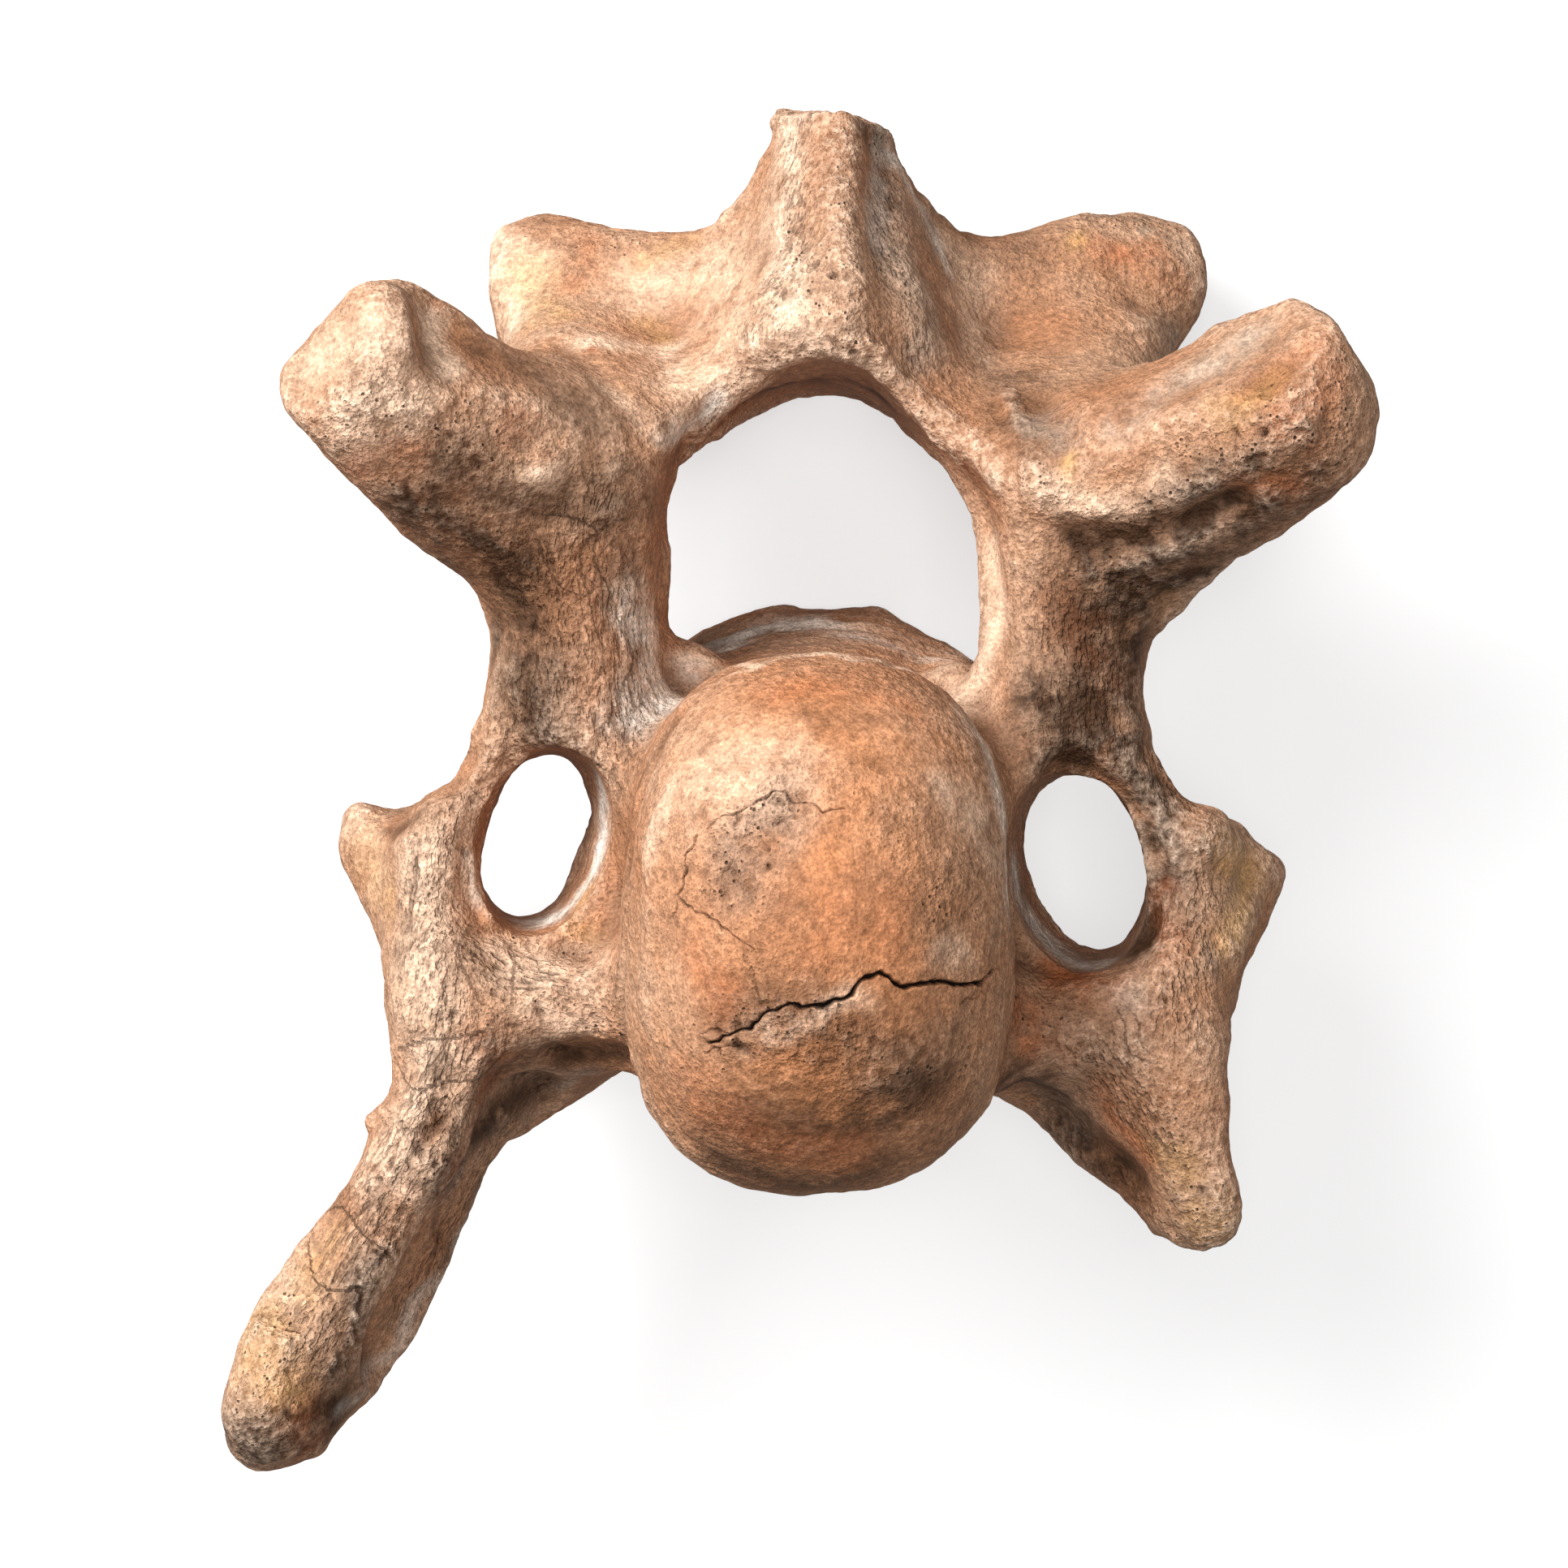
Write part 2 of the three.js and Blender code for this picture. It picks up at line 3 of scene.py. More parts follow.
import bmesh
import bpy
import numpy as np
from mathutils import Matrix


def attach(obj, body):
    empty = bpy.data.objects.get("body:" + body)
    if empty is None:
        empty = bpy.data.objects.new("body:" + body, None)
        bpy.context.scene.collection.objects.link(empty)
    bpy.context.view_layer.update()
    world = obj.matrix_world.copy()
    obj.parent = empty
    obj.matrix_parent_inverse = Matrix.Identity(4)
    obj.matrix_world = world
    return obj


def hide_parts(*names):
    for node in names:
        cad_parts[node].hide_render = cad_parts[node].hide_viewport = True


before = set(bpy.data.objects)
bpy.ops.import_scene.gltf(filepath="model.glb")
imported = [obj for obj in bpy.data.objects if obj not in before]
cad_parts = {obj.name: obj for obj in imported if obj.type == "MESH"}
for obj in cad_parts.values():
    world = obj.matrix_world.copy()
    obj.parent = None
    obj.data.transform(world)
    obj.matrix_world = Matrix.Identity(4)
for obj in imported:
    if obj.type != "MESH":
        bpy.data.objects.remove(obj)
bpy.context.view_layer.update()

import openvdb
from mathutils import Vector

# The bone as a whole: one neck vertebra of a woolly rhinoceros, grown and petrified in one piece.
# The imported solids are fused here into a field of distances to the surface, in millimetres and
# negative inside. That closes the thin cuts between them, and the forms below are carved into it.
MILLIMETRES = 1000.0
CELL = 0.5
BAND_CELLS = 11
ROOM = 5.5
SEAM = 0.3
FACET_SOFTENING = 2.5


def read_solids(nodes):
    """Corner places in millimetres and triangles of all the solids together."""
    places, triangles, count = [], [], 0
    for node in nodes:
        mesh = node.data
        mesh.calc_loop_triangles()
        corners = np.empty(3 * len(mesh.loop_triangles), np.int32)
        mesh.loop_triangles.foreach_get("vertices", corners)
        spots = np.empty(3 * len(mesh.vertices), np.float32)
        mesh.vertices.foreach_get("co", spots)
        places.append(spots.reshape(-1, 3) * MILLIMETRES)
        triangles.append(corners.reshape(-1, 3) + count)
        count += len(mesh.vertices)
    return np.concatenate(places), np.concatenate(triangles).astype(np.uint32)


def averaged(values, width):
    """The field averaged twice over a cube of this width, which blunts every edge."""
    cells = 2 * round(width / CELL / 2) + 1
    margin = [(cells // 2 + 1, cells // 2), (0, 0), (0, 0)]
    for axis in (0, 1, 2, 0, 1, 2):
        sums = np.cumsum(np.pad(np.moveaxis(values, axis, 0), margin, mode="edge"), axis=0)
        values = np.moveaxis((sums[cells:] - sums[:-cells]) / np.float32(cells), 0, axis)
    return np.ascontiguousarray(values)


solid_places, solid_triangles = read_solids(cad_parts.values())
spacing = openvdb.createLinearTransform(CELL)
parted = openvdb.FloatGrid.createLevelSetFromPolygons(
    solid_places, triangles=solid_triangles, transform=spacing, halfWidth=BAND_CELLS)
closed_places, closed_quads = parted.convertToQuads(SEAM)
closed = openvdb.FloatGrid.createLevelSetFromPolygons(
    closed_places, quads=closed_quads, transform=spacing, halfWidth=BAND_CELLS)
first_cell = np.floor((solid_places.min(0) - ROOM) / CELL).astype(int)
last_cell = np.ceil((solid_places.max(0) + ROOM) / CELL).astype(int)
field = np.empty(last_cell - first_cell + 1, np.float32)
closed.copyToArray(field, ijk=tuple(int(step) for step in first_cell))
field = averaged(field + np.float32(SEAM), FACET_SOFTENING)
cell_places = [
    ((first_cell[axis] + np.arange(field.shape[axis])) * CELL).astype(np.float32) for axis in range(3)]

# The view: straight down onto the front of the bone as it lies, which is how the photograph shows it.
# The forms below are placed by where they are seen from here, in pixels of the photograph.
PHOTO_SIDE = 1932
PIXELS_PER_MILLIMETRE = 8.2
SHARP_HEIGHT = 60.0
VIEW_DISTANCE = 450.0
VIEW_AXIS = np.array([-1.122, -1.344])
eye = np.array([*VIEW_AXIS, SHARP_HEIGHT + VIEW_DISTANCE])

camera = bpy.data.objects.new("camera", bpy.data.cameras.new("camera"))
bpy.context.scene.collection.objects.link(camera)
camera.location = eye / MILLIMETRES
camera.data.sensor_fit = "HORIZONTAL"
camera.data.angle = 2 * math.atan(PHOTO_SIDE / 2 / PIXELS_PER_MILLIMETRE / VIEW_DISTANCE)
bpy.context.scene.camera = camera

# The centrum: the solid drum of the vertebra, with the domed head in front that fits the next bone.
# The head is smooth joint bone, set off by a groove at its sides, and it has dried and cracked across.
OUTLINE_PASSES = 3
FILL_RUNS = 6
PAST_LAST_CELL = 1.001


def field_at(values, places):
    """The field's values at some places, between its cells."""
    spot = (places / CELL - first_cell).clip(0, np.array(values.shape) - PAST_LAST_CELL)
    low = spot.astype(np.int32)
    part = (spot - low).astype(np.float32)
    found = np.zeros(len(places), np.float32)
    for corner in np.ndindex(2, 2, 2):
        weight = np.prod(np.where(corner, part, 1 - part), axis=1)
        found += weight * values[tuple((low + corner).T)]
    return found


def sight(pixel):
    """The places along the line of sight through a pixel, from the eye down, and the field there."""
    heights = np.arange(field.shape[2] * 2 - 2, 0, -1) * CELL / 2 + first_cell[2] * CELL
    side = (np.array(pixel) - PHOTO_SIDE / 2) * [1, -1] / PIXELS_PER_MILLIMETRE
    places = np.empty((len(heights), 3))
    places[:, :2] = VIEW_AXIS + side * ((eye[2] - heights) / VIEW_DISTANCE)[:, None]
    places[:, 2] = heights
    return places, field_at(field, places)


def seen(pixels):
    """The line over the bone that is seen at some pixels. Beside the bone it passes closest to it."""
    line = []
    for pixel in pixels:
        places, depth = sight(pixel)
        inside = np.flatnonzero(depth < 0)
        if len(inside):
            last = max(inside[0] - 1, 0)
            share = depth[last] / (depth[last] - depth[inside[0]])
            line.append(places[last] + share * (places[inside[0]] - places[last]))
        else:
            line.append(places[depth.argmin()])
    if len(line) == 1:
        line.append(line[0] + [0, 0, CELL])
    return np.array(line)


def at_height(pixels, height):
    """The line through some pixels in a level plane."""
    return np.array([places[abs(places[:, 2] - height).argmin()] for places, _ in map(sight, pixels)])


def line_distance(x, y, z, line):
    """Distance from places to the nearest point of a line of straight runs."""
    nearest = np.float32(np.inf)
    for start, end in zip(line[:-1], line[1:]):
        run = end - start
        along = (x - start[0]) * run[0] + (y - start[1]) * run[1] + (z - start[2]) * run[2]
        along = (along / run.dot(run)).clip(0, 1)
        gap = (x - start[0] - along * run[0]) ** 2
        gap = gap + (y - start[1] - along * run[1]) ** 2 + (z - start[2] - along * run[2]) ** 2
        nearest = np.minimum(nearest, gap)
    return np.sqrt(nearest)


def eased(share):
    """A share from 0 to 1 that sets out and arrives gently."""
    share = share.clip(0, 1)
    return share * share * (3 - 2 * share)


def block_around(line, reach):
    """The part of the field within reach of a line, and the places of its cells."""
    first = ((line.min(0) - reach) / CELL - first_cell).astype(int).clip(0)
    last = ((line.max(0) + reach) / CELL - first_cell).astype(int) + 2
    block = tuple(slice(a, b) for a, b in zip(first, last))
    x, y, z = (places[part] for places, part in zip(cell_places, block))
    return block, x[:, None, None], y[None, :, None], z[None, None, :]


def swell(pixels, height, width, sharp=False, level=None):
    """Raises a ridge along what is seen at some pixels, or along a line at a level in their lines of sight.
    It sinks a groove if the height is negative."""
    line = seen(pixels) if level is None else at_height(pixels, level)
    block, x, y, z = block_around(line, width)
    share = (1 - line_distance(x, y, z, line) / width).clip(0, 1)
    field[block] -= height * (share if sharp else eased(share))


def shave(pixel, normal, depth, reach, softness=1.5):
    """Wears a flat on the bone round what is seen at a pixel, this deep below it."""
    middle = seen([pixel])[0]
    normal = np.array(normal) / np.linalg.norm(normal)
    block, x, y, z = block_around(middle[None], reach)
    offset = [x - middle[0], y - middle[1], z - middle[2]]
    beyond = offset[0] * normal[0] + offset[1] * normal[1] + offset[2] * normal[2] + depth
    overlap = (softness - abs(field[block] - beyond)).clip(0) / softness
    worn = np.maximum(field[block], beyond) + overlap * overlap * softness / 4
    gap = np.sqrt(offset[0] ** 2 + offset[1] ** 2 + offset[2] ** 2) / reach
    field[block] += eased((1 - gap) * 3) * (worn - field[block])


def fit_outline(pixels, width=7.0):
    """Moves the bone's outline, and what is within this width of it, to where some pixels show it.
    Each pass takes the place where the lines of sight run deepest in the bone."""
    for _ in range(OUTLINE_PASSES):
        sights = [sight(pixel) for pixel in pixels]
        deepest = np.pad([depth.argmin() for _, depth in sights], 2, mode="edge")
        steady = [int(np.median(deepest[number:number + 5])) for number in range(len(sights))]
        line = np.array([places[step] for (places, _), step in zip(sights, steady)])
        gaps = np.array([depth[step] for (_, depth), step in zip(sights, steady)])
        block, x, y, z = block_around(line, width)
        nearest = np.full(field[block].shape, width, np.float32)
        change = np.zeros_like(nearest)
        for start, end, first, last in zip(line[:-1], line[1:], gaps[:-1], gaps[1:]):
            run = end - start
            along = (x - start[0]) * run[0] + (y - start[1]) * run[1] + (z - start[2]) * run[2]
            along = (along / run.dot(run)).clip(0, 1)
            distance = line_distance(x, y, z, np.array([start, end]))
            change = np.where(distance < nearest, first + along * (last - first), change)
            nearest = np.minimum(distance, nearest)
        field[block] -= change * eased(1 - nearest / width)


def blended(one, other, softness=2.0):
    """Two bodies in one, with a soft fillet where they meet."""
    overlap = (softness - abs(one - other)).clip(0) / softness
    return np.minimum(one, other) - overlap * overlap * softness / 4


def fill_slope(front, rear, front_height, rear_height, thickness):
    """Fills in a slope of bone between a line of pixels at one height and a line at a lower height."""
    sunk = np.array([0, thickness * PIXELS_PER_MILLIMETRE])
    for share in np.linspace(0, 1, FILL_RUNS):
        pixels = np.array(front) + (np.array(rear) - front) * share + sunk
        line = at_height(pixels, front_height + (rear_height - front_height) * share)
        block, x, y, z = block_around(line, 2 * thickness)
        field[block] = blended(field[block], line_distance(x, y, z, line) - thickness)


# Each part of the bone below is carved by its forms (pixels, height, width, sharp or not, level), flats
# (pixel, direction, depth, reach, softness) and outlines, with all sizes in millimetres.
# Each also lists what its surface shows, for the skin at the end:
# cracks (pixels, width, depth), fibres (pixels, reach, direction, depth), crumbled bone (pixels, reach,
# depth), smooth joint faces (pixels, reach), crazing (pixels, reach, strength) and stains (pixels, reach,
# strength) of each colour. The dark brown stains are partly painted shade, the pale ones partly painted
# light.
cracks, fibres, crumbs, polish, crazing = [], [], [], [], []
clay, umber_and_painted_shade, peach_and_painted_light, rust, ash_and_painted_light, ochre, chalk_and_painted_light = [], [], [], [], [], [], []

HEAD_LEFT = [(838, 878), (800, 945), (779, 1015), (772, 1105), (769, 1200), (768, 1290)]
HEAD_TOP = [(838, 878), (900, 836), (990, 808), (1080, 815), (1150, 840), (1205, 885)]
HEAD_RIGHT = [(1205, 885), (1240, 930), (1257, 990), (1263, 1100), (1253, 1200), (1243, 1300)]
HEAD_FOOT = [(785, 1315), (830, 1400), (900, 1450)]
WORN_PATCH = [(905, 1095), (920, 1050), (955, 995)]
CANAL_LEDGE = [
    (846, 800), (886, 821), (929, 823), (972, 812), (1015, 808), (1058, 815), (1127, 830), (1180, 812)]
CANAL_REAR = [
    (850, 790), (886, 771), (925, 757), (962, 751), (1015, 750), (1068, 751), (1128, 778), (1178, 803)]
HEAD_FORMS = [
    ([(834, 812), (866, 832)], 3.5, 6.5, False, 47), (HEAD_LEFT, -1.2, 2.6), (HEAD_TOP, 0.5, 2.4),
    (HEAD_RIGHT, -0.9, 4.5), ([(815, 1000), (800, 1100), (800, 1250)], 0.5, 5.0), (WORN_PATCH, -1.1, 6.5),
    ([(1150, 1110), (1190, 1150)], -0.4, 6.0), ([(1080, 1310), (1160, 1290)], 0.4, 8.0),
    ([(990, 830)], -1.0, 1.2), ([(960, 752)], 0.6, 4.0), ([(1080, 754)], 0.6, 4.0)]
RIM_FLAT = ((1020, 752), (0, 1, 0.1), 0.3, 10.0)
LEDGE_HEIGHT = 45.0
CANAL_REAR_HEIGHT = 15.0
CANAL_FLOOR_THICKNESS = 3.0
THIN_EDGE = 5.0
HEAD_OUTLINE = [
    (768, 1322), (795, 1350), (832, 1410), (867, 1440), (936, 1470), (980, 1477), (1054, 1470),
    (1135, 1440), (1176, 1410), (1205, 1380), (1222, 1358)]
REAR_RIM_OUTLINE = [
    (857, 780), (900, 763), (945, 750), (1072, 748), (1100, 758), (1140, 785), (1185, 803)]
fill_slope(CANAL_LEDGE, CANAL_REAR, LEDGE_HEIGHT, CANAL_REAR_HEIGHT, CANAL_FLOOR_THICKNESS)
for form in HEAD_FORMS:
    swell(*form)
shave(*RIM_FLAT)
fit_outline(HEAD_OUTLINE)
fit_outline(REAR_RIM_OUTLINE, THIN_EDGE)

cracks += [
    ([(872, 1287), (900, 1276), (922, 1268), (945, 1247), (972, 1237)], 0.34, 0.9),
    ([(972, 1237), (1012, 1240), (1030, 1233), (1050, 1228), (1060, 1208), (1085, 1201), (1098, 1205),
      (1112, 1217), (1140, 1211), (1165, 1211), (1200, 1214), (1216, 1208), (1228, 1192)], 0.45, 1.5),
    ([(872, 1024), (888, 1006), (905, 1006), (922, 992), (940, 985), (952, 974), (968, 976), (980, 990),
      (1000, 990), (1012, 998), (1040, 996)], 0.22, 0.52),
    ([(858, 1030), (846, 1050), (842, 1080), (836, 1108), (852, 1120), (870, 1126), (888, 1142),
      (908, 1156), (932, 1168)], 0.22, 0.56),
    ([(915, 1165), (918, 1185), (930, 1200), (932, 1222), (938, 1236)], 0.17, 0.3),
    ([(836, 1108), (828, 1130), (836, 1160), (828, 1190), (832, 1225)], 0.17, 0.3),
    ([(866, 1272), (884, 1268), (900, 1276)], 0.2, 0.42),
    ([(868, 1298), (888, 1290), (910, 1292)], 0.2, 0.42),
    ([(1186, 1238), (1204, 1228), (1216, 1208)], 0.2, 0.4),
    ([(905, 930), (912, 950), (904, 968)], 0.15, 0.28)]
crumbs += [
    (WORN_PATCH, 8.0, 0.42), ([(890, 1280), (1000, 1270), (1060, 1300)], 9.0, 0.38),
    ([(1110, 1340), (1180, 1310)], 8.0, 0.16), (HEAD_FOOT, 4.0, 0.3),
    ([(1160, 1110), (1190, 1080)], 7.0, 0.16)]
polish += [
    ([(900, 900), (1100, 900), (1180, 1000)], 14.0), ([(1010, 1060), (1100, 1180), (1120, 1260)], 16.0),
    ([(1050, 1080), (1120, 1160)], 11.0), ([(850, 1200), (960, 1380), (1100, 1410)], 10.0)]
clay += [([(1010, 930), (1010, 1340)], 34.0, 1.0)]
# The dark brown here is partly stain and partly painted shade, darkening the groove along the head's left
# side and the lower part of the dome.
umber_and_painted_shade += [
    (WORN_PATCH, 7.0, 0.2), ([(900, 1260), (1000, 1230), (1040, 1290), (1130, 1290)], 10.0, 0.7),
    (HEAD_LEFT, 1.6, 0.6), ([(900, 1440), (1000, 1460), (1080, 1440)], 11.0, 0.8),
    ([(1110, 1430), (1190, 1370)], 8.0, 0.4), ([(1000, 880), (1090, 885)], 3.0, 0.3),
    ([(920, 1390), (1080, 1380), (1140, 1330)], 13.0, 0.9)]
# The pale pink here is painted light: a painted highlight on the dome's upper left, and lightened shade at
# the canal's rear rim and the head's right edge.
peach_and_painted_light += [
    ([(880, 960), (960, 950)], 14.0, 0.5), ([(960, 770), (1060, 775)], 6.0, 0.6), (CANAL_LEDGE, 2.2, 0.7),
    ([(1175, 985), (1225, 1060)], 6.0, 0.5), ([(830, 960), (800, 1050)], 5.0, 0.5),
    ([(910, 1290), (985, 1270), (1060, 1235)], 3.5, 0.45), ([(1165, 1165), (1190, 1180)], 5.0, 0.6)]
rust += [
    ([(950, 855), (1060, 850), (1130, 880)], 7.0, 0.4), ([(1000, 1130), (1090, 1130)], 11.0, 0.3),
    ([(840, 1330), (930, 1400), (1040, 1420)], 8.0, 0.35), ([(860, 1180), (890, 1230)], 7.0, 0.35)]
ash_and_painted_light += [(WORN_PATCH, 7.5, 0.35)]
# The near-white here is painted light, lightening the canal's rear rim and the groove at the head's right
# edge, which lie in shade.
chalk_and_painted_light += [
    ([(880, 795), (930, 772), (1000, 766)], 8.0, 0.9), ([(838, 815), (860, 825)], 4.0, 0.4),
    ([(1040, 785), (1130, 810)], 6.0, 0.4),
    ([(1188, 880), (1220, 960), (1236, 1040), (1240, 1100)], 5.0, 0.45)]

# The neural arch: two pedicles and a roof of thin compact bone over the canal of the spinal cord.
# It carries the neural spine, a keeled blade whose top broke off and shows its cellular inside.
SPINE_KEEL = [(1042, 168), (1034, 230), (1040, 300), (1046, 350), (1040, 400), (1034, 424)]
SPINE_VALLEY = [(1088, 190), (1082, 290), (1100, 390), (1128, 445)]
SPINE_TOP = [(968, 138), (1030, 136), (1092, 150)]
ARCH_RIM = [
    (850, 560), (872, 528), (905, 490), (937, 461), (985, 437), (1020, 431), (1050, 441), (1076, 456),
    (1102, 472), (1140, 520), (1178, 562)]
SPINE_TOP_FORM = (SPINE_TOP, 2.0, 6.0)
SPINE_TOP_FLATS = [
    ((985, 140), (0.0, 1, 0.1), 0.3, 15.0, 0.6), ((1075, 148), (0.12, 1, 0.1), 0.3, 15.0, 0.6)]
ARCH_FORMS = [
    (SPINE_KEEL, 1.7, 6.0, True), (SPINE_VALLEY, -1.6, 7.0), ([(1150, 245)], 0.8, 4.0),
    ([(864, 522), (900, 486), (930, 464)], 3.4, 6.0, False, 52), (ARCH_RIM, 0.9, 3.2),
    ([(690, 425), (735, 455), (765, 495), (795, 540)], -1.1, 4.5),
    ([(1080, 440), (1130, 490), (1178, 540), (1232, 590)], 1.0, 4.0),
    ([(1118, 430), (1195, 490), (1250, 520)], -0.9, 6.5), ([(1243, 488), (1262, 528)], 1.2, 2.6),
    ([(1280, 500), (1310, 540)], -1.3, 5.5), ([(1000, 300)], -0.4, 5.0),
    ([(1222, 660), (1224, 740), (1218, 810), (1192, 860)], 3.0, 5.0),
    ([(1310, 690), (1335, 760), (1335, 840), (1315, 905)], -3.2, 13.0),
    ([(1320, 880), (1335, 930)], -0.8, 7.0)]
SPINE_EDGE = 6.0
CANAL_OUTLINE = [
    (832, 785), (823, 750), (826, 690), (822, 630), (829, 600), (843, 570), (889, 540), (936, 510),
    (980, 492), (1020, 487), (1060, 493), (1100, 517), (1124, 540), (1157, 570), (1177, 600), (1192, 630),
    (1201, 660), (1206, 720), (1205, 780)]
SPINE_OUTLINE = [
    (862, 281), (893, 260), (914, 240), (927, 220), (935, 200), (949, 180), (953, 160), (962, 136),
    (1020, 138), (1057, 141), (1094, 158), (1103, 180), (1109, 200), (1122, 220), (1135, 240),
    (1164, 262), (1185, 280)]
swell(*SPINE_TOP_FORM)
for flat in SPINE_TOP_FLATS:
    shave(*flat)
for form in ARCH_FORMS:
    swell(*form)
fit_outline(CANAL_OUTLINE)
fit_outline(SPINE_OUTLINE, SPINE_EDGE)

fibres += [
    ([(980, 180), (990, 300), (930, 400)], 9.0, (0.1, 1, 0.1), 0.2),
    ([(1100, 220), (1100, 330), (1130, 430)], 6.0, (-0.15, 1, 0), 0.2),
    ([(650, 720), (680, 820), (640, 900)], 12.0, (-0.05, 1, 0.1), 0.32),
    ([(770, 720), (780, 830), (760, 930)], 10.0, (-0.15, 1, 0.1), 0.3),
    ([(720, 640), (700, 700)], 8.0, (0.2, 1, 0.1), 0.2),
    ([(1320, 760), (1340, 900)], 13.0, (-0.1, 1, 0.1), 0.16)]
crumbs += [
    (SPINE_TOP, 5.0, 0.2), ([(1075, 160), (1080, 195)], 4.5, 0.3),
    ([(965, 275), (1010, 330), (1000, 400)], 6.0, 0.3), (SPINE_KEEL, 4.0, 0.3), (ARCH_RIM, 3.5, 0.35),
    ([(1045, 408), (1075, 430)], 4.0, 0.45)]
polish += [
    ([(760, 340), (860, 380)], 9.0), ([(1250, 400), (1330, 430)], 8.0), ([(1225, 720), (1220, 800)], 5.0)]
crazing += [([(660, 790), (670, 870)], 7.0, 0.35), ([(775, 790), (770, 900)], 6.0, 0.35)]
# The dark brown here is mostly painted shade: the right pedicle, which faces away from the light, is
# darkened as if shaded.
umber_and_painted_shade += [
    ([(1060, 150), (1085, 165)], 4.0, 0.8), ([(1240, 470), (1280, 545)], 8.0, 0.7),
    ([(990, 420), (1020, 440)], 5.0, 0.6), ([(605, 700), (612, 800)], 6.0, 1.0),
    ([(1390, 730), (1390, 850), (1390, 940)], 8.0, 1.0),
    ([(620, 720), (650, 800), (670, 900)], 11.0, 1.0), ([(1010, 465), (1090, 495)], 5.0, 0.8),
    ([(1375, 730), (1365, 820), (1340, 900)], 15.0, 1.4), ([(1275, 860), (1310, 920)], 7.5, 1.1),
    ([(1010, 470), (940, 480)], 5.0, 0.8)]
# The pale pink here is mostly painted light: a painted highlight on the spine's lit left face and the left
# lamina, and lightened shade at the head's right edge and the left pedicle's base.
peach_and_painted_light += [
    ([(1150, 280), (1200, 340), (1200, 430)], 9.0, 0.5), ([(820, 530), (870, 500)], 5.0, 0.5),
    ([(975, 170), (960, 260), (970, 380)], 9.0, 0.95),
    ([(800, 350), (870, 330), (930, 420), (850, 470)], 12.0, 0.6),
    ([(730, 420), (830, 430), (850, 520)], 7.0, 0.8),
    ([(1185, 840), (1215, 930), (1235, 1010), (1240, 1100)], 6.0, 0.9), (ARCH_RIM, 2.6, 0.7),
    ([(903, 492)], 1.5, 1.0), ([(730, 470), (800, 520)], 4.0, 0.5),
    ([(1228, 670), (1228, 760), (1200, 840)], 4.5, 0.7), ([(1220, 590)], 3.5, 0.8),
    ([(775, 720), (800, 800), (815, 840)], 7.0, 0.8), ([(830, 520), (880, 500), (940, 450)], 5.0, 0.7)]
rust += [
    ([(1300, 760), (1370, 830)], 8.0, 0.2), ([(740, 430)], 3.0, 0.9),
    ([(820, 620), (830, 700)], 5.0, 0.4)]
# The grey here is partly grey bone and partly painted light, lightening the shaded base of the left pedicle
# beside the canal.
ash_and_painted_light += [
    ([(1095, 200), (1110, 320), (1140, 420)], 8.0, 0.5), ([(1290, 520), (1330, 545)], 5.5, 0.4),
    ([(790, 800), (770, 880)], 6.0, 0.5)]
ochre += [([(800, 320), (840, 300)], 5.0, 0.5), ([(790, 400), (820, 420)], 4.0, 0.5)]
# The near-white here is painted light on shaded places: the spine's right face, the arch's inner rim and the
# left pedicle's base beside the canal.
chalk_and_painted_light += [
    ([(1082, 180), (1080, 290)], 5.0, 0.3), ([(1100, 190), (1140, 260), (1165, 330)], 3.5, 0.5),
    ([(830, 545), (875, 508)], 4.0, 0.8), ([(780, 740), (800, 800), (812, 850), (790, 890)], 7.0, 0.7)]

# The front joint processes: two blunt arms that reach forward and out, one each side of the arch.
# Each bears an oval joint face on its upper side, smooth and dense, and is rough below from muscle.
LEFT_FACE_EDGE = [(515, 400), (600, 485), (690, 530), (750, 570)]
LEFT_END_EDGE = [(512, 352), (492, 428), (440, 490), (375, 505)]
RIGHT_FACE_EDGE = [(1330, 575), (1400, 540), (1480, 492), (1560, 450), (1600, 420)]
RIGHT_END_EDGE = [(1590, 368), (1598, 420), (1604, 500)]
RIGHT_LIP = [(1275, 592), (1320, 628), (1390, 645), (1450, 617), (1530, 570), (1600, 520)]
RIGHT_UNDERCUT = [(1330, 664), (1400, 659), (1460, 647), (1520, 622)]
RIGHT_UNDERSIDE = [(1340, 690), (1430, 690), (1520, 650), (1600, 600)]
ARM_FLATS = [
    ((430, 430), (-0.62, 0.3, 0.72), 1.0, 15.0, 1.2), ((640, 440), (0.42, 0.62, 0.66), 1.0, 21.0, 1.2),
    ((1480, 440), (-0.42, 0.62, 0.66), 1.0, 22.0, 1.2)]
ARM_FORMS = [
    (LEFT_FACE_EDGE, 0.8, 4.5, True), (LEFT_END_EDGE, 0.5, 4.0), ([(675, 575)], 1.3, 5.5),
    ([(692, 670), (760, 622)], 0.4, 3.6), ([(740, 560)], -1.0, 4.0),
    ([(600, 600), (640, 640)], -0.5, 7.0), ([(1380, 520), (1480, 455), (1570, 400)], -1.0, 7.0),
    (RIGHT_FACE_EDGE, 0.7, 4.0, True), (RIGHT_END_EDGE, 0.7, 4.5), (RIGHT_LIP, 1.3, 5.0),
    (RIGHT_UNDERCUT, -2.2, 5.5), ([(1395, 690), (1480, 655), (1560, 610)], 0.8, 3.5)]
LEFT_ARM_OUTLINE = [
    (561, 380), (527, 360), (490, 347), (441, 360), (382, 420), (355, 445), (345, 470), (358, 510),
    (384, 540), (442, 600), (498, 660), (537, 690), (578, 720), (595, 750), (602, 790)]
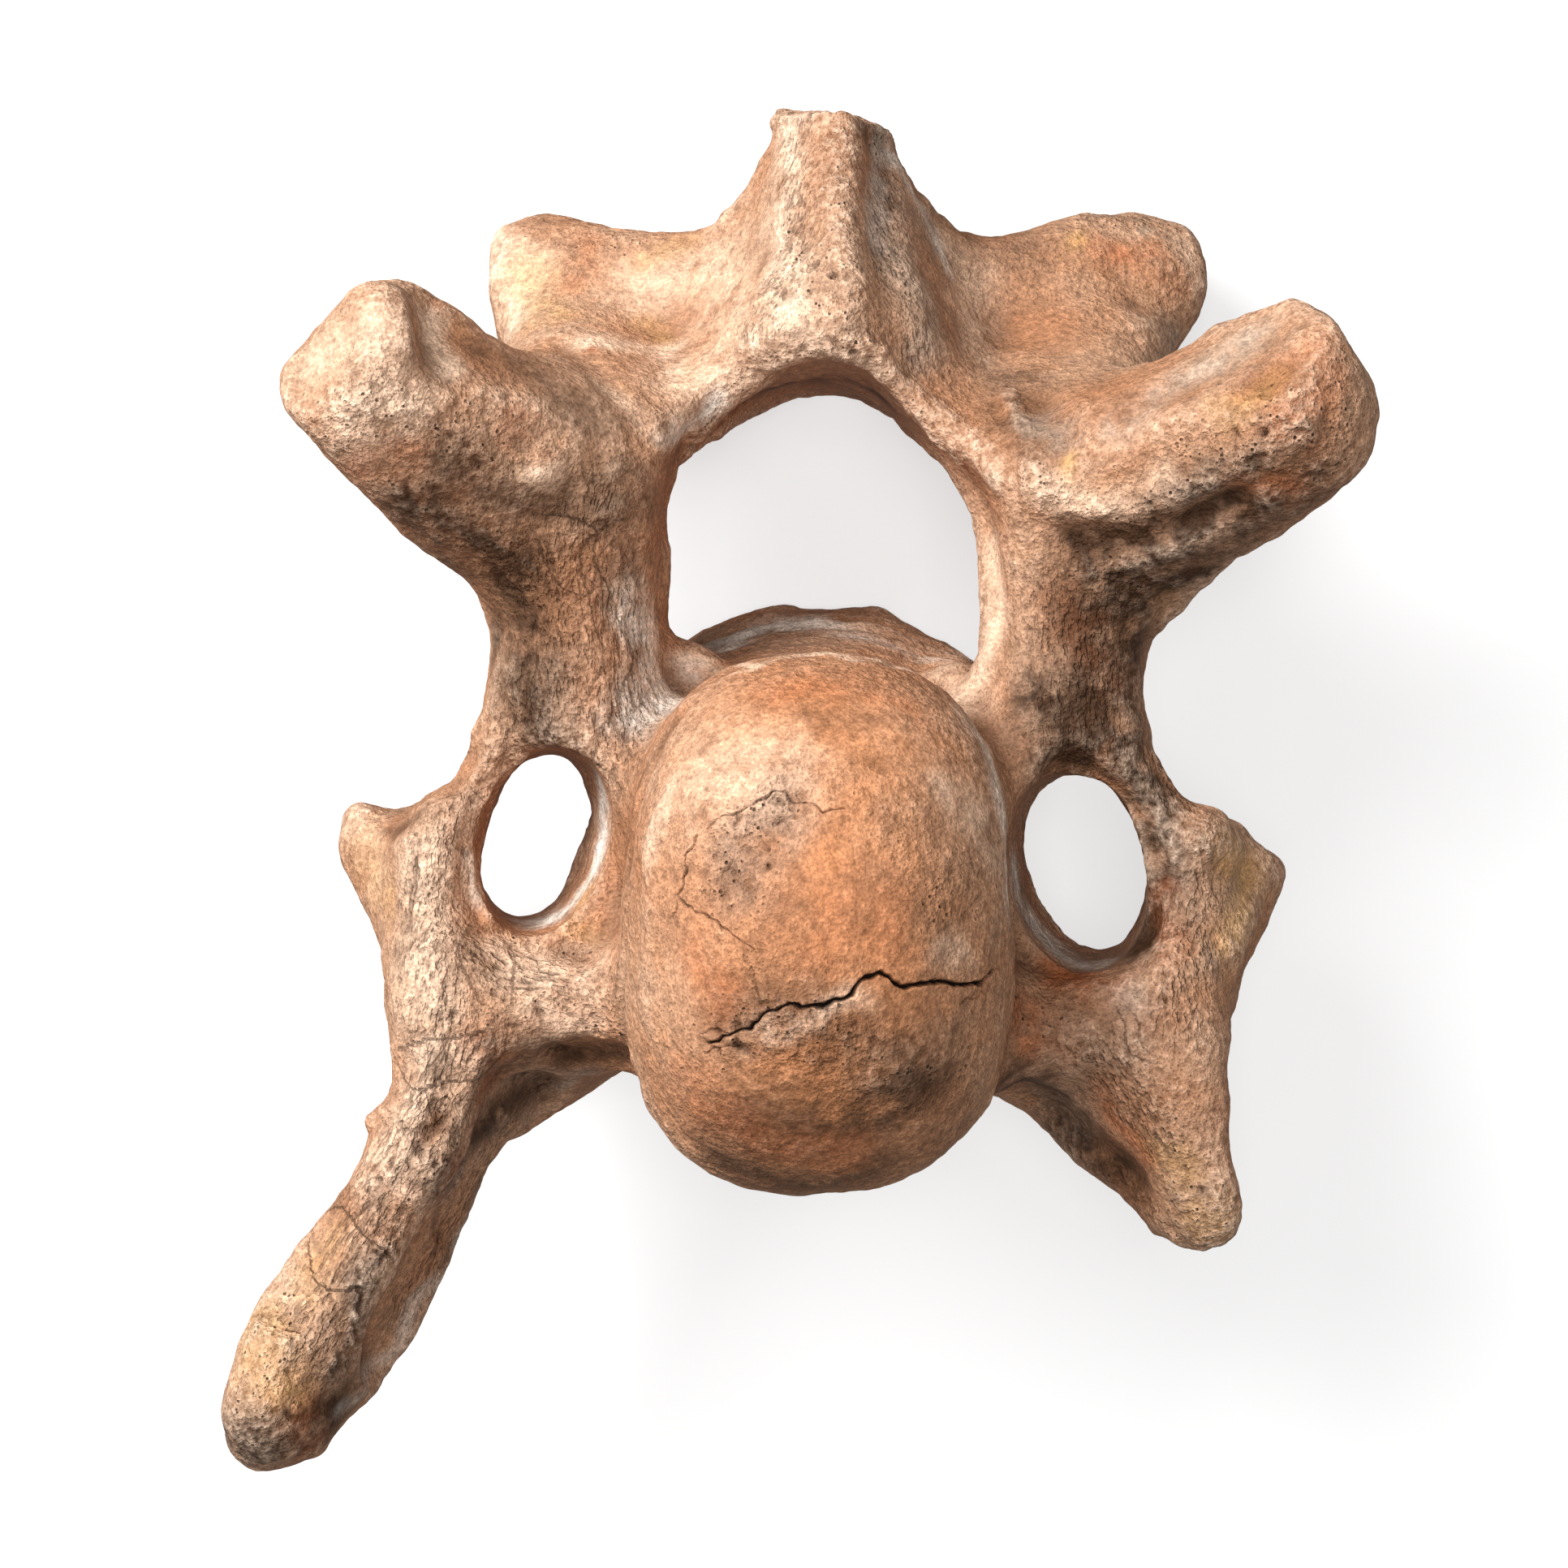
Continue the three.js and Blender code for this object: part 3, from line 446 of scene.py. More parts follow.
RIGHT_ARM_OUTLINE = [
    (1502, 400), (1558, 380), (1595, 368), (1625, 380), (1661, 420), (1687, 460), (1699, 510),
    (1693, 540), (1679, 570), (1648, 600), (1577, 660), (1522, 690), (1487, 720), (1457, 750),
    (1426, 780), (1411, 840)]
for flat in ARM_FLATS:
    shave(*flat)
for form in ARM_FORMS:
    swell(*form)
fit_outline(LEFT_ARM_OUTLINE)
fit_outline(RIGHT_ARM_OUTLINE)

crumbs += [
    ([(400, 540), (480, 500), (560, 540), (620, 560)], 10.0, 0.34), ([(480, 620), (590, 680)], 9.0, 0.26),
    (RIGHT_LIP, 4.5, 0.36), ([(1560, 500), (1620, 560), (1650, 480)], 9.0, 0.22),
    ([(1340, 680), (1420, 720)], 7.0, 0.36), ([(1480, 560), (1560, 520)], 7.0, 0.22)]
polish += [
    ([(580, 420), (680, 470), (740, 520)], 7.0), ([(1390, 520), (1480, 455), (1570, 400)], 7.5),
    ([(400, 440), (450, 390)], 6.5)]
# The dark brown here is painted shade, darkening the undercut and the underside of the right arm and the
# fold below the left one.
umber_and_painted_shade += [
    ([(610, 440), (660, 460), (740, 520)], 7.0, 0.65), ([(510, 625), (560, 660), (640, 690)], 11.0, 1.0),
    ([(540, 690), (620, 740)], 6.0, 0.8), ([(760, 590), (800, 610)], 5.0, 0.6),
    (RIGHT_UNDERCUT, 6.5, 1.3), (RIGHT_UNDERSIDE, 11.0, 1.0),
    ([(1420, 640), (1500, 590), (1560, 570)], 5.0, 1.0), ([(540, 580), (640, 620), (750, 620)], 9.0, 0.8),
    ([(1345, 690), (1390, 745), (1480, 700)], 7.0, 1.1), ([(1600, 560), (1650, 600)], 7.0, 0.45)]
# The pale pink here is partly pale bone and partly a painted highlight on the lit end of the left arm.
peach_and_painted_light += [
    ([(390, 440), (470, 420)], 9.0, 0.5), ([(525, 395), (545, 450), (460, 550)], 5.0, 0.8),
    ([(440, 520), (500, 480)], 8.0, 0.8), ([(675, 575)], 4.5, 0.7),
    ([(1290, 600), (1360, 620), (1440, 590)], 4.0, 0.5), ([(620, 390)], 4.0, 0.4)]
rust += [
    ([(450, 580), (500, 560)], 6.0, 0.5), ([(530, 377)], 2.5, 0.9), ([(640, 520), (680, 540)], 4.0, 0.6),
    ([(1560, 470), (1600, 520), (1640, 450)], 8.0, 0.5), ([(1540, 590), (1600, 600)], 5.0, 0.4)]
ash_and_painted_light += [([(1390, 520), (1470, 460), (1550, 410)], 6.0, 0.6)]
ochre += [([(1320, 572)], 3.5, 0.9), ([(1520, 500), (1560, 480)], 6.0, 0.6), ([(1430, 740)], 3.5, 0.6)]

# The rear joint processes: two flat plates behind the arch that lap over the next bone.
# From the front they show their thin worn ends to each side of the spine.
PLATE_FORMS = [
    ([(612, 290), (606, 330), (612, 370)], 0.7, 4.0), ([(660, 300), (670, 360)], -0.5, 5.0),
    ([(1405, 400), (1440, 420)], 1.0, 6.0), ([(1380, 330), (1400, 375)], -0.6, 4.5),
    ([(1462, 290), (1480, 345)], 0.7, 4.0)]
LEFT_PLATE_OUTLINE = [
    (862, 282), (820, 285), (760, 282), (700, 266), (660, 266), (620, 278), (604, 300), (602, 340),
    (607, 385)]
RIGHT_PLATE_OUTLINE = [
    (1185, 282), (1220, 288), (1260, 285), (1300, 272), (1340, 261), (1380, 264), (1420, 269),
    (1460, 278), (1476, 300), (1487, 340), (1486, 360), (1476, 385), (1462, 410)]
for form in PLATE_FORMS:
    swell(*form)
fit_outline(LEFT_PLATE_OUTLINE)
fit_outline(RIGHT_PLATE_OUTLINE)

crumbs += [([(1330, 270), (1440, 275)], 4.0, 0.25), ([(700, 300), (760, 300)], 5.0, 0.15)]
polish += [([(610, 290), (640, 370)], 7.0), ([(1410, 390), (1450, 410)], 5.5)]
umber_and_painted_shade += [([(1400, 380), (1445, 405)], 5.0, 0.5)]
# The pale pink on the left plate is a painted highlight on its lit end.
peach_and_painted_light += [([(612, 290), (640, 330), (640, 390)], 7.0, 1.0), ([(1460, 300), (1475, 350)], 4.0, 0.45)]
rust += [([(1370, 310), (1420, 320)], 6.0, 0.6), ([(700, 340), (720, 300)], 6.0, 0.35)]
ash_and_painted_light += [([(1410, 280)], 3.0, 0.5)]
ochre += [([(640, 330), (680, 390)], 6.0, 0.6), ([(1325, 300)], 4.0, 0.7)]

# The transverse processes: broad wings on both sides, each pierced by the hole of the neck artery.
# Their bone is fibrous and weathered in flakes, with a hooked knob on the left and a blunt one right.
HAIR = 1e-6


def bore(middle, half_length, half_width, lean, flare, low, high, wall):
    """Opens an oval tube along the line of sight, with a wall round it between two heights. Its oval is
    given in pixels at the low end. At the high end it has moved by the lean and grown by the flare."""
    ends = at_height([np.add(middle, half_length), np.subtract(middle, half_length)], low)
    block, x, y, z = block_around(ends, np.linalg.norm(half_length) / PIXELS_PER_MILLIMETRE + wall)
    block, z = (*block[:2], slice(None)), cell_places[2][None, None, :]
    pixel = VIEW_DISTANCE * PIXELS_PER_MILLIMETRE / (eye[2] - z)
    rise = ((z - low) / (high - low)).clip(0, 1)
    right = (x - VIEW_AXIS[0]) * pixel + PHOTO_SIDE / 2 - middle[0] - lean[0] * rise
    down = (VIEW_AXIS[1] - y) * pixel + PHOTO_SIDE / 2 - middle[1] - lean[1] * rise
    length = np.linalg.norm(half_length)
    along = (right * half_length[0] + down * half_length[1]) / length
    across = (right * half_length[1] - down * half_length[0]) / length
    oval = (along / (length + flare * rise)) ** 2 + (across / (half_width + flare * rise)) ** 2
    oval = np.sqrt(oval) + HAIR
    outside = np.sqrt(along ** 2 + across ** 2) * (1 - 1 / oval) / pixel
    ring = np.maximum(np.maximum(-outside, outside - wall), np.maximum(low - z, z - high))
    field[block] = np.maximum(blended(field[block], ring), -outside).astype(np.float32)


LEFT_HOLE = [(600, 1130), (586, 1080), (596, 1010), (640, 932)]
LEFT_NOTCH = [(700, 1308), (730, 1304), (765, 1308)]
ARTERY_HOLES = [((657, 1031), (29, -96), 62, (12, 6), 20), ((1338, 1060), (23, 107), 71, (-10, 14), 15)]
HOLE_LOW = 36.0
HOLE_HIGH = 57.0
HOLE_WALL = 9.0
HOLE_EDGE = 4.0
WING_FORMS = [
    (LEFT_HOLE, 0.6, 2.2), ([(435, 1000)], 0.8, 5.0), ([(475, 1022), (520, 1012)], -0.9, 4.0),
    (LEFT_NOTCH, -3.0, 6.0), ([(690, 1275), (640, 1285)], 0.7, 3.5),
    ([(620, 1165), (700, 1160)], 0.6, 3.5), ([(1425, 1070), (1438, 1150), (1430, 1230)], 0.8, 3.8),
    ([(1490, 1030), (1530, 1045), (1560, 1068)], 2.0, 6.0),
    ([(1555, 1060), (1540, 1110), (1520, 1170)], 1.5, 5.0), ([(1480, 1005), (1535, 1032)], -0.6, 2.4),
    ([(1500, 1080), (1490, 1150)], -0.7, 6.0), ([(1320, 1220), (1390, 1215)], 0.6, 3.5)]
LEFT_WING_OUTLINE = [
    (606, 810), (600, 840), (582, 900), (574, 930), (558, 960), (515, 988), (480, 998), (455, 990),
    (432, 993), (421, 1020), (431, 1080), (445, 1110), (457, 1140), (470, 1175), (479, 1230), (480, 1290),
    (475, 1350)]
LEFT_HOLE_OUTLINE = [
    (626, 960), (612, 990), (600, 1020), (594, 1050), (591, 1080), (604, 1110), (625, 1126), (660, 1130),
    (690, 1108), (699, 1080), (711, 1050), (724, 1020), (731, 990), (726, 960), (700, 938), (660, 933),
    (640, 942), (626, 960)]
RIGHT_HOLE_OUTLINE = [
    (1330, 953), (1301, 960), (1262, 990), (1260, 1020), (1263, 1050), (1280, 1110), (1302, 1140),
    (1340, 1167), (1380, 1163), (1403, 1140), (1414, 1110), (1407, 1050), (1387, 990), (1356, 960),
    (1330, 953)]
RIGHT_WING_OUTLINE = [
    (1409, 870), (1418, 900), (1427, 930), (1444, 960), (1468, 992), (1500, 1005), (1532, 1020),
    (1563, 1050), (1582, 1066), (1578, 1090), (1559, 1140), (1543, 1170), (1532, 1200), (1516, 1260)]
RIGHT_WAIST_OUTLINE = [(1444, 962), (1468, 990), (1500, 1004), (1532, 1020)]
LEFT_WAIST_OUTLINE = [(600, 840), (582, 900), (574, 930), (558, 960), (515, 988)]
for hole in ARTERY_HOLES:
    bore(*hole, HOLE_LOW, HOLE_HIGH, HOLE_WALL)
for form in WING_FORMS:
    swell(*form)
fit_outline(LEFT_WING_OUTLINE)
fit_outline(LEFT_HOLE_OUTLINE, HOLE_EDGE)
fit_outline(RIGHT_HOLE_OUTLINE, HOLE_EDGE)
fit_outline(RIGHT_WING_OUTLINE)
fit_outline(RIGHT_WAIST_OUTLINE, THIN_EDGE)
fit_outline(LEFT_WAIST_OUTLINE, THIN_EDGE)

fibres += [
    ([(560, 1010), (520, 1120), (540, 1250)], 11.0, (0.15, 1, 0), 0.26),
    ([(600, 1180), (680, 1200), (740, 1230)], 8.0, (1, -0.2, 0), 0.26),
    ([(1440, 980), (1420, 930)], 7.0, (-0.3, 1, 0), 0.16),
    ([(1470, 1120), (1450, 1250)], 9.0, (0.1, 1, 0), 0.14)]
crumbs += [
    ([(600, 1250), (680, 1230), (750, 1270)], 7.0, 0.4), ([(620, 1150), (700, 1170)], 5.0, 0.26),
    ([(1470, 1015), (1480, 1045)], 4.0, 0.4), ([(1255, 1230), (1290, 1260)], 6.0, 0.3)]
crazing += [([(540, 1050), (520, 1150), (550, 1250)], 9.0, 0.4), ([(620, 1180), (720, 1200)], 7.0, 0.35)]
# The dark brown here is painted shade, darkening the notch between the head and the left lamella and the
# right wing's edge beside its hole.
umber_and_painted_shade += [
    (LEFT_NOTCH, 6.0, 1.0), ([(1405, 950), (1428, 1080), (1415, 1160)], 8.5, 1.2),
    ([(1330, 1235), (1390, 1290), (1330, 1340)], 9.0, 0.4), ([(475, 1022), (510, 1015)], 3.5, 0.6),
    ([(1460, 1010), (1475, 1040)], 4.0, 0.7), ([(1260, 1260), (1300, 1280)], 6.0, 0.5),
    ([(600, 1290), (680, 1280)], 5.0, 0.5)]
peach_and_painted_light += [
    ([(620, 1180), (720, 1200)], 9.0, 0.8), ([(1530, 1070), (1520, 1150)], 4.0, 0.5),
    ([(440, 1010), (470, 1090)], 6.0, 0.4), ([(530, 1080), (530, 1230)], 11.0, 0.7),
    ([(580, 980), (572, 1090)], 4.0, 0.7), ([(650, 1240), (720, 1250)], 5.0, 0.6)]
rust += [
    ([(1290, 1200), (1370, 1215)], 4.5, 0.9), ([(1250, 1230), (1280, 1290)], 6.0, 0.8),
    ([(1430, 1110), (1440, 1180)], 4.0, 0.5), ([(580, 1280), (610, 1330)], 6.0, 0.6)]
ash_and_painted_light += [([(1490, 1170)], 5.0, 0.3), ([(1390, 1230)], 5.0, 0.5), ([(680, 1340), (720, 1325)], 4.0, 0.6)]
ochre += [
    ([(730, 1080), (720, 1150)], 4.5, 0.7), ([(440, 1040), (480, 1120)], 6.0, 0.4),
    ([(1510, 1050), (1540, 1080), (1520, 1160)], 7.0, 0.8)]
# The near-white here is painted light, lightening the shaded walls and rims of the artery holes.
chalk_and_painted_light += [
    ([(735, 960), (745, 1020), (735, 1070), (700, 1120), (650, 1138)], 5.0, 0.9),
    ([(1250, 1080), (1295, 1160), (1350, 1190)], 7.0, 0.85), ([(580, 1060), (590, 1100)], 3.0, 0.4)]

# The ventral lamellae: plates that hang from the transverse processes towards the throat.
# The left one is whole and ends in a rough club. The right one has broken short to a blunt point.
LEFT_CREST = [(600, 1290), (572, 1370), (540, 1440), (490, 1520), (446, 1595), (420, 1680)]
LEFT_CLUB = [(360, 1620), (330, 1700), (330, 1770)]
RIGHT_EDGE = [(1260, 1350), (1330, 1420), (1400, 1475), (1450, 1520)]
LEFT_CREST_FORM = (LEFT_CREST, 1.6, 6.0)
LAMELLA_FLATS = [
    ((625, 1400), (0.8, -0.45, 0.42), 1.0, 13.0), ((590, 1465), (0.8, -0.45, 0.42), 1.0, 13.0),
    ((540, 1545), (0.8, -0.45, 0.42), 1.0, 13.0), ((495, 1620), (0.8, -0.45, 0.42), 1.0, 13.0),
    ((490, 1400), (-0.55, 0.3, 0.78), 0.8, 14.0), ((445, 1475), (-0.55, 0.3, 0.78), 0.8, 14.0),
    ((395, 1550), (-0.55, 0.3, 0.78), 0.8, 14.0)]
LAMELLA_FORMS = [
    (LEFT_CREST, 0.9, 3.6, True), ([(420, 1600), (430, 1690)], -0.8, 3.0), (LEFT_CLUB, 0.8, 9.0),
    ([(1255, 1345), (1310, 1375), (1385, 1445)], -2.0, 7.0),
    ([(1400, 1290), (1440, 1380), (1450, 1460)], 0.6, 5.0)]
LEFT_LAMELLA_OUTLINE = [
    (475, 1350), (456, 1410), (417, 1470), (369, 1530), (328, 1590), (297, 1650), (280, 1710),
    (276, 1760), (287, 1798), (312, 1813), (340, 1811), (370, 1800), (411, 1770), (439, 1740),
    (468, 1710), (509, 1650), (554, 1560), (575, 1500), (601, 1440), (620, 1410), (652, 1380),
    (698, 1350), (764, 1321)]
RIGHT_LAMELLA_OUTLINE = [
    (1516, 1260), (1510, 1320), (1515, 1410), (1524, 1470), (1526, 1505), (1510, 1532), (1480, 1540),
    (1444, 1530), (1407, 1500), (1376, 1470), (1337, 1440), (1305, 1410), (1275, 1380), (1240, 1358)]
swell(*LEFT_CREST_FORM)
for flat in LAMELLA_FLATS:
    shave(*flat)
for form in LAMELLA_FORMS:
    swell(*form)
fit_outline(LEFT_LAMELLA_OUTLINE)
fit_outline(RIGHT_LAMELLA_OUTLINE)

fibres += [
    ([(560, 1300), (510, 1400), (450, 1500)], 11.0, (0.45, 0.85, 0.1), 0.38),
    ([(430, 1530), (370, 1630)], 10.0, (0.5, 0.8, 0), 0.3),
    ([(620, 1400), (570, 1490), (500, 1600)], 8.0, (0.55, 0.8, 0), 0.22),
    ([(1350, 1300), (1420, 1400)], 9.0, (-0.4, 0.85, 0), 0.14)]
crumbs += [
    (LEFT_CREST, 3.5, 0.5), (LEFT_CLUB, 9.0, 0.34), (RIGHT_EDGE, 3.0, 0.45),
    ([(1440, 1400), (1480, 1480), (1480, 1530)], 8.0, 0.34)]
crazing += [
    ([(570, 1290), (540, 1360), (500, 1430), (440, 1520)], 9.0, 0.9),
    ([(400, 1580), (370, 1640)], 6.0, 0.4)]
# The dark brown here is painted shade, darkening the shaded side of the left crest, the underside of its
# club and the right lamella's medial face.
umber_and_painted_shade += [
    ([(650, 1345), (590, 1400), (545, 1460)], 7.0, 1.0),
    ([(300, 1785), (350, 1775), (410, 1740)], 12.0, 1.2),
    ([(465, 1550), (425, 1620), (405, 1690)], 5.5, 1.0),
    ([(1250, 1330), (1310, 1370), (1390, 1450)], 9.0, 1.0), ([(1470, 1520), (1500, 1530)], 4.0, 0.4)]
peach_and_painted_light += [([(545, 1290), (525, 1360), (475, 1455)], 9.0, 0.8), ([(360, 1580), (330, 1640)], 6.0, 0.4)]
rust += [
    ([(580, 1400), (560, 1440)], 4.0, 0.6), ([(1370, 1360), (1400, 1420)], 6.0, 0.6),
    ([(340, 1700), (380, 1780)], 7.0, 0.4)]
ash_and_painted_light += [([(560, 1530), (600, 1460)], 4.0, 0.4)]
ochre += [
    ([(320, 1640), (335, 1700)], 8.0, 0.8), ([(1440, 1430), (1480, 1500)], 8.0, 0.5),
    ([(400, 1540), (380, 1580)], 6.0, 0.4)]
chalk_and_painted_light += [([(590, 1480), (540, 1570), (480, 1660), (430, 1730)], 3.0, 0.4)]

# The skin of the bone: one closed surface, so that no border shows between the parts.
# Its grain is cut along the normals: weathered waves, fibres, crumbled and cellular bone, and cracks.
SEED = 41
WARP = 2.6
WARP_LENGTH = 9.0
CRACK_WARP = 0.45
CRACK_WARP_LENGTH = 1.7
CRACK_BAND = 1.3
CRACK_CUTS = 2
DARK_DEPTH = 0.8
TRACE_STEP = 14
WAVES = [(21.0, 0.5), (8.0, 0.28), (3.4, 0.19), (1.6, 0.12)]
POLISHED_SHARE = 0.45
FIBRE_STRETCH = 7.0
BLOCK_STRETCH = 2.6
FIBRE_LENGTHS = [(1.9, 1.0), (1.1, 0.6)]
SPLIT_LENGTH = 3.0
SPLIT_WIDTH = 0.07
CRUMB_LENGTHS = [(2.6, 1.0), (1.4, 0.7), (0.9, 0.4)]
PIT_LENGTH = 2.0
PIT_LEVEL = 0.35
FORM_WIDTH = 5.0
SPLIT_DEPTH = 1.2
PIT_DEPTH = 2.2
PIT_FULL = 0.8
NOISE_GAIN = 1.7
NOISE_STEP = 31.7
LOOSE_NOISE = 1
WAVE_NOISE = 5
FIBRE_NOISE = 11
SPLIT_NOISE = 15
CRUMB_NOISE = 21
PIT_NOISE = 26
CRACK_NOISE = 60

form = averaged(field, FORM_WIDTH)
grid = openvdb.FloatGrid(float(field.max()))
grid.copyFromArray(field, ijk=tuple(int(step) for step in first_cell))
grid.transform = spacing
corners, quads = grid.convertToQuads(0.0)

mesh = bpy.data.meshes.new("bone")
mesh.vertices.add(len(corners))
mesh.vertices.foreach_set("co", corners.astype(np.float32).ravel())
mesh.loops.add(4 * len(quads))
mesh.loops.foreach_set("vertex_index", quads.astype(np.int32).ravel())
mesh.polygons.add(len(quads))
mesh.polygons.foreach_set("loop_start", np.arange(0, 4 * len(quads), 4, dtype=np.int32))
mesh.update(calc_edges=True)

draw = np.random.default_rng(SEED)
shuffle = draw.permutation(256)
tilts = draw.normal(size=(256, 3)).astype(np.float32)
tilts /= np.linalg.norm(tilts, axis=1, keepdims=True)


def wrinkle(places, length, number):
    """Smooth noise, mostly between -1 and 1, with bumps of this length. Each number gives another one."""
    spot = places / np.float32(length) + np.float32(NOISE_STEP * number)
    low = np.floor(spot).astype(np.int32)
    part = (spot - low).astype(np.float32)
    weights = part * part * part * (part * (part * 6 - 15) + 10)
    total = np.zeros(len(places), np.float32)
    for corner in np.ndindex(2, 2, 2):
        x, y, z = ((low + corner) & 255).T
        tilt = tilts[shuffle[(shuffle[(shuffle[x] + y) & 255] + z) & 255]]
        weight = np.prod(np.where(corner, weights, 1 - weights), axis=1)
        total += weight * ((part - np.array(corner, np.float32)) * tilt).sum(1)
    return NOISE_GAIN * total


def warped(places, length, shift, number):
    """The places pushed about by noise, so that what is measured from them gets ragged borders."""
    return places + shift * np.stack([wrinkle(places, length, number + axis) for axis in range(3)], 1)


def traced(pixels):
    """A finer row of pixels along a line of pixels, for what has to follow the surface closely."""
    row = [pixels[0]]
    for start, end in zip(np.array(pixels[:-1]), np.array(pixels[1:])):
        steps = math.ceil(np.linalg.norm(end - start) / TRACE_STEP)
        row += [tuple(start + (end - start) * step / steps) for step in range(1, steps + 1)]
    return row


def crack_shares(places):
    """How dark the cracks are at each place, how deep they are there, and how far off the nearest one is."""
    crooked = warped(places, CRACK_WARP_LENGTH, CRACK_WARP, CRACK_NOISE)
    dark, sunk, gap = np.zeros(len(places)), np.zeros(len(places)), np.full(len(places), np.inf)
    for pixels, width, depth in cracks:
        line = seen(traced(pixels))
        distance = line_distance(*crooked[:, :2].T, 0, line * [1, 1, 0])
        distance = np.where(places[:, 2] < line[:, 2].min() - CRACK_BAND, np.inf, distance)
        here = (1 - distance / width).clip(0, 1)
        sunk = np.maximum(sunk, depth * here)
        dark = np.maximum(dark, here * min(depth / DARK_DEPTH, 1))
        gap = np.minimum(gap, distance)
    return dark, sunk, gap


near_crack = crack_shares(corners)[2] < CRACK_BAND
fine = bmesh.new()
fine.from_mesh(mesh)
cut = [edge for edge in fine.edges if near_crack[edge.verts[0].index] and near_crack[edge.verts[1].index]]
bmesh.ops.subdivide_edges(fine, edges=cut, cuts=CRACK_CUTS, use_grid_fill=True)
fine.to_mesh(mesh)
fine.free()
mesh.polygons.foreach_set("use_smooth", np.ones(len(mesh.polygons), bool))

corners = np.empty(3 * len(mesh.vertices), np.float32)
mesh.vertices.foreach_get("co", corners)
corners = corners.reshape(-1, 3)
normals = np.empty(corners.size, np.float32)
mesh.vertex_normals.foreach_get("vector", normals)
normals = normals.reshape(-1, 3)
loose = warped(corners, WARP_LENGTH, WARP, LOOSE_NOISE)


def nearness(pixels, reach):
    """How near each corner of the skin is to what is seen at some pixels, from 0 out of reach to 1."""
    return eased(1 - line_distance(*loose.T, seen(pixels)) / reach)


def greatest(shares):
    return np.max(shares, axis=0)


smooth = greatest([nearness(pixels, reach) for pixels, reach in polish])
relief = np.zeros(len(corners), np.float32)
for number, (length, height) in enumerate(WAVES):
    relief += height * wrinkle(corners, length, WAVE_NOISE + number)
relief *= 1 - (1 - POLISHED_SHARE) * smooth

grain, hollow = np.zeros(len(corners), np.float32), np.zeros(len(corners), np.float32)
strand = corners.copy()
for pixels, reach, direction, depth in fibres:
    share = nearness(pixels, reach)
    here = share > 0
    run = np.array(direction) / np.linalg.norm(direction)
    drawn = corners[here] - (1 - 1 / FIBRE_STRETCH) * (corners[here] @ run)[:, None] * run
    for number, (length, height) in enumerate(FIBRE_LENGTHS):
        relief[here] += depth * height * share[here] * wrinkle(drawn, length, FIBRE_NOISE + number)
    split = (1 - abs(wrinkle(drawn, SPLIT_LENGTH, SPLIT_NOISE)) / SPLIT_WIDTH).clip(0, 1) * share[here]
    relief[here] -= SPLIT_DEPTH * depth * split
    hollow[here] = np.maximum(hollow[here], split)
    strongest = here & (share > grain)
    strand[strongest] -= (1 - 1 / BLOCK_STRETCH) * (corners[strongest] @ run)[:, None] * run
    grain = np.maximum(grain, share)

rough = np.zeros(len(corners), np.float32)
for pixels, reach, depth in crumbs:
    share = nearness(pixels, reach)
    here = share > 0
    for number, (length, height) in enumerate(CRUMB_LENGTHS):
        relief[here] += depth * height * share[here] * wrinkle(corners[here], length, CRUMB_NOISE + number)
    pit = (wrinkle(corners[here], PIT_LENGTH, PIT_NOISE) - PIT_LEVEL) / (PIT_FULL - PIT_LEVEL)
    pit = eased(pit) * share[here]
    relief[here] -= PIT_DEPTH * depth * pit
    hollow[here] = np.maximum(hollow[here], pit)
    rough = np.maximum(rough, share)

crack, sunk, _ = crack_shares(corners)
bend = field_at(form, corners)
corners += normals * (relief - sunk)[:, None]
corners[:, 2] = corners[:, 2].clip(0)
mesh.vertices.foreach_set("co", (corners / MILLIMETRES).astype(np.float32).ravel())
mesh.update()

marks = {"smooth": smooth, "grain": grain, "rough": rough, "hollow": hollow, "crack": crack, "bend": bend,
         "relief": relief}
for name, spots in (("clay", clay), ("umber_and_painted_shade", umber_and_painted_shade), ("peach_and_painted_light", peach_and_painted_light), ("rust", rust), ("ash_and_painted_light", ash_and_painted_light),
                    ("ochre", ochre), ("chalk_and_painted_light", chalk_and_painted_light), ("crazing", crazing)):
    marks[name] = greatest([strength * nearness(pixels, reach) for pixels, reach, strength in spots])
for name, values in marks.items():
    layer = mesh.attributes.new(name, "FLOAT", "POINT")
    layer.data.foreach_set("value", values.astype(np.float32))

layer = mesh.attributes.new("strand", "FLOAT_VECTOR", "POINT")
layer.data.foreach_set("vector", strand.astype(np.float32).ravel())

bone = bpy.data.objects.new("bone", mesh)
bpy.context.scene.collection.objects.link(bone)
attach(bone, "root")
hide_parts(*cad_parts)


def paint(red, green, blue):
    """A colour given on a screen's scale up to 255, as the share of light that it gives back."""
    shares = [value / 255 for value in (red, green, blue)]
    return (*(((share + 0.055) / 1.055) ** 2.4 for share in shares), 1.0)


TAN = paint(194, 152, 122)
BROWN = paint(146, 102, 72)
RUSSET = paint(178, 126, 92)
CLAY = paint(182, 122, 82)
DUST = paint(228, 200, 176)
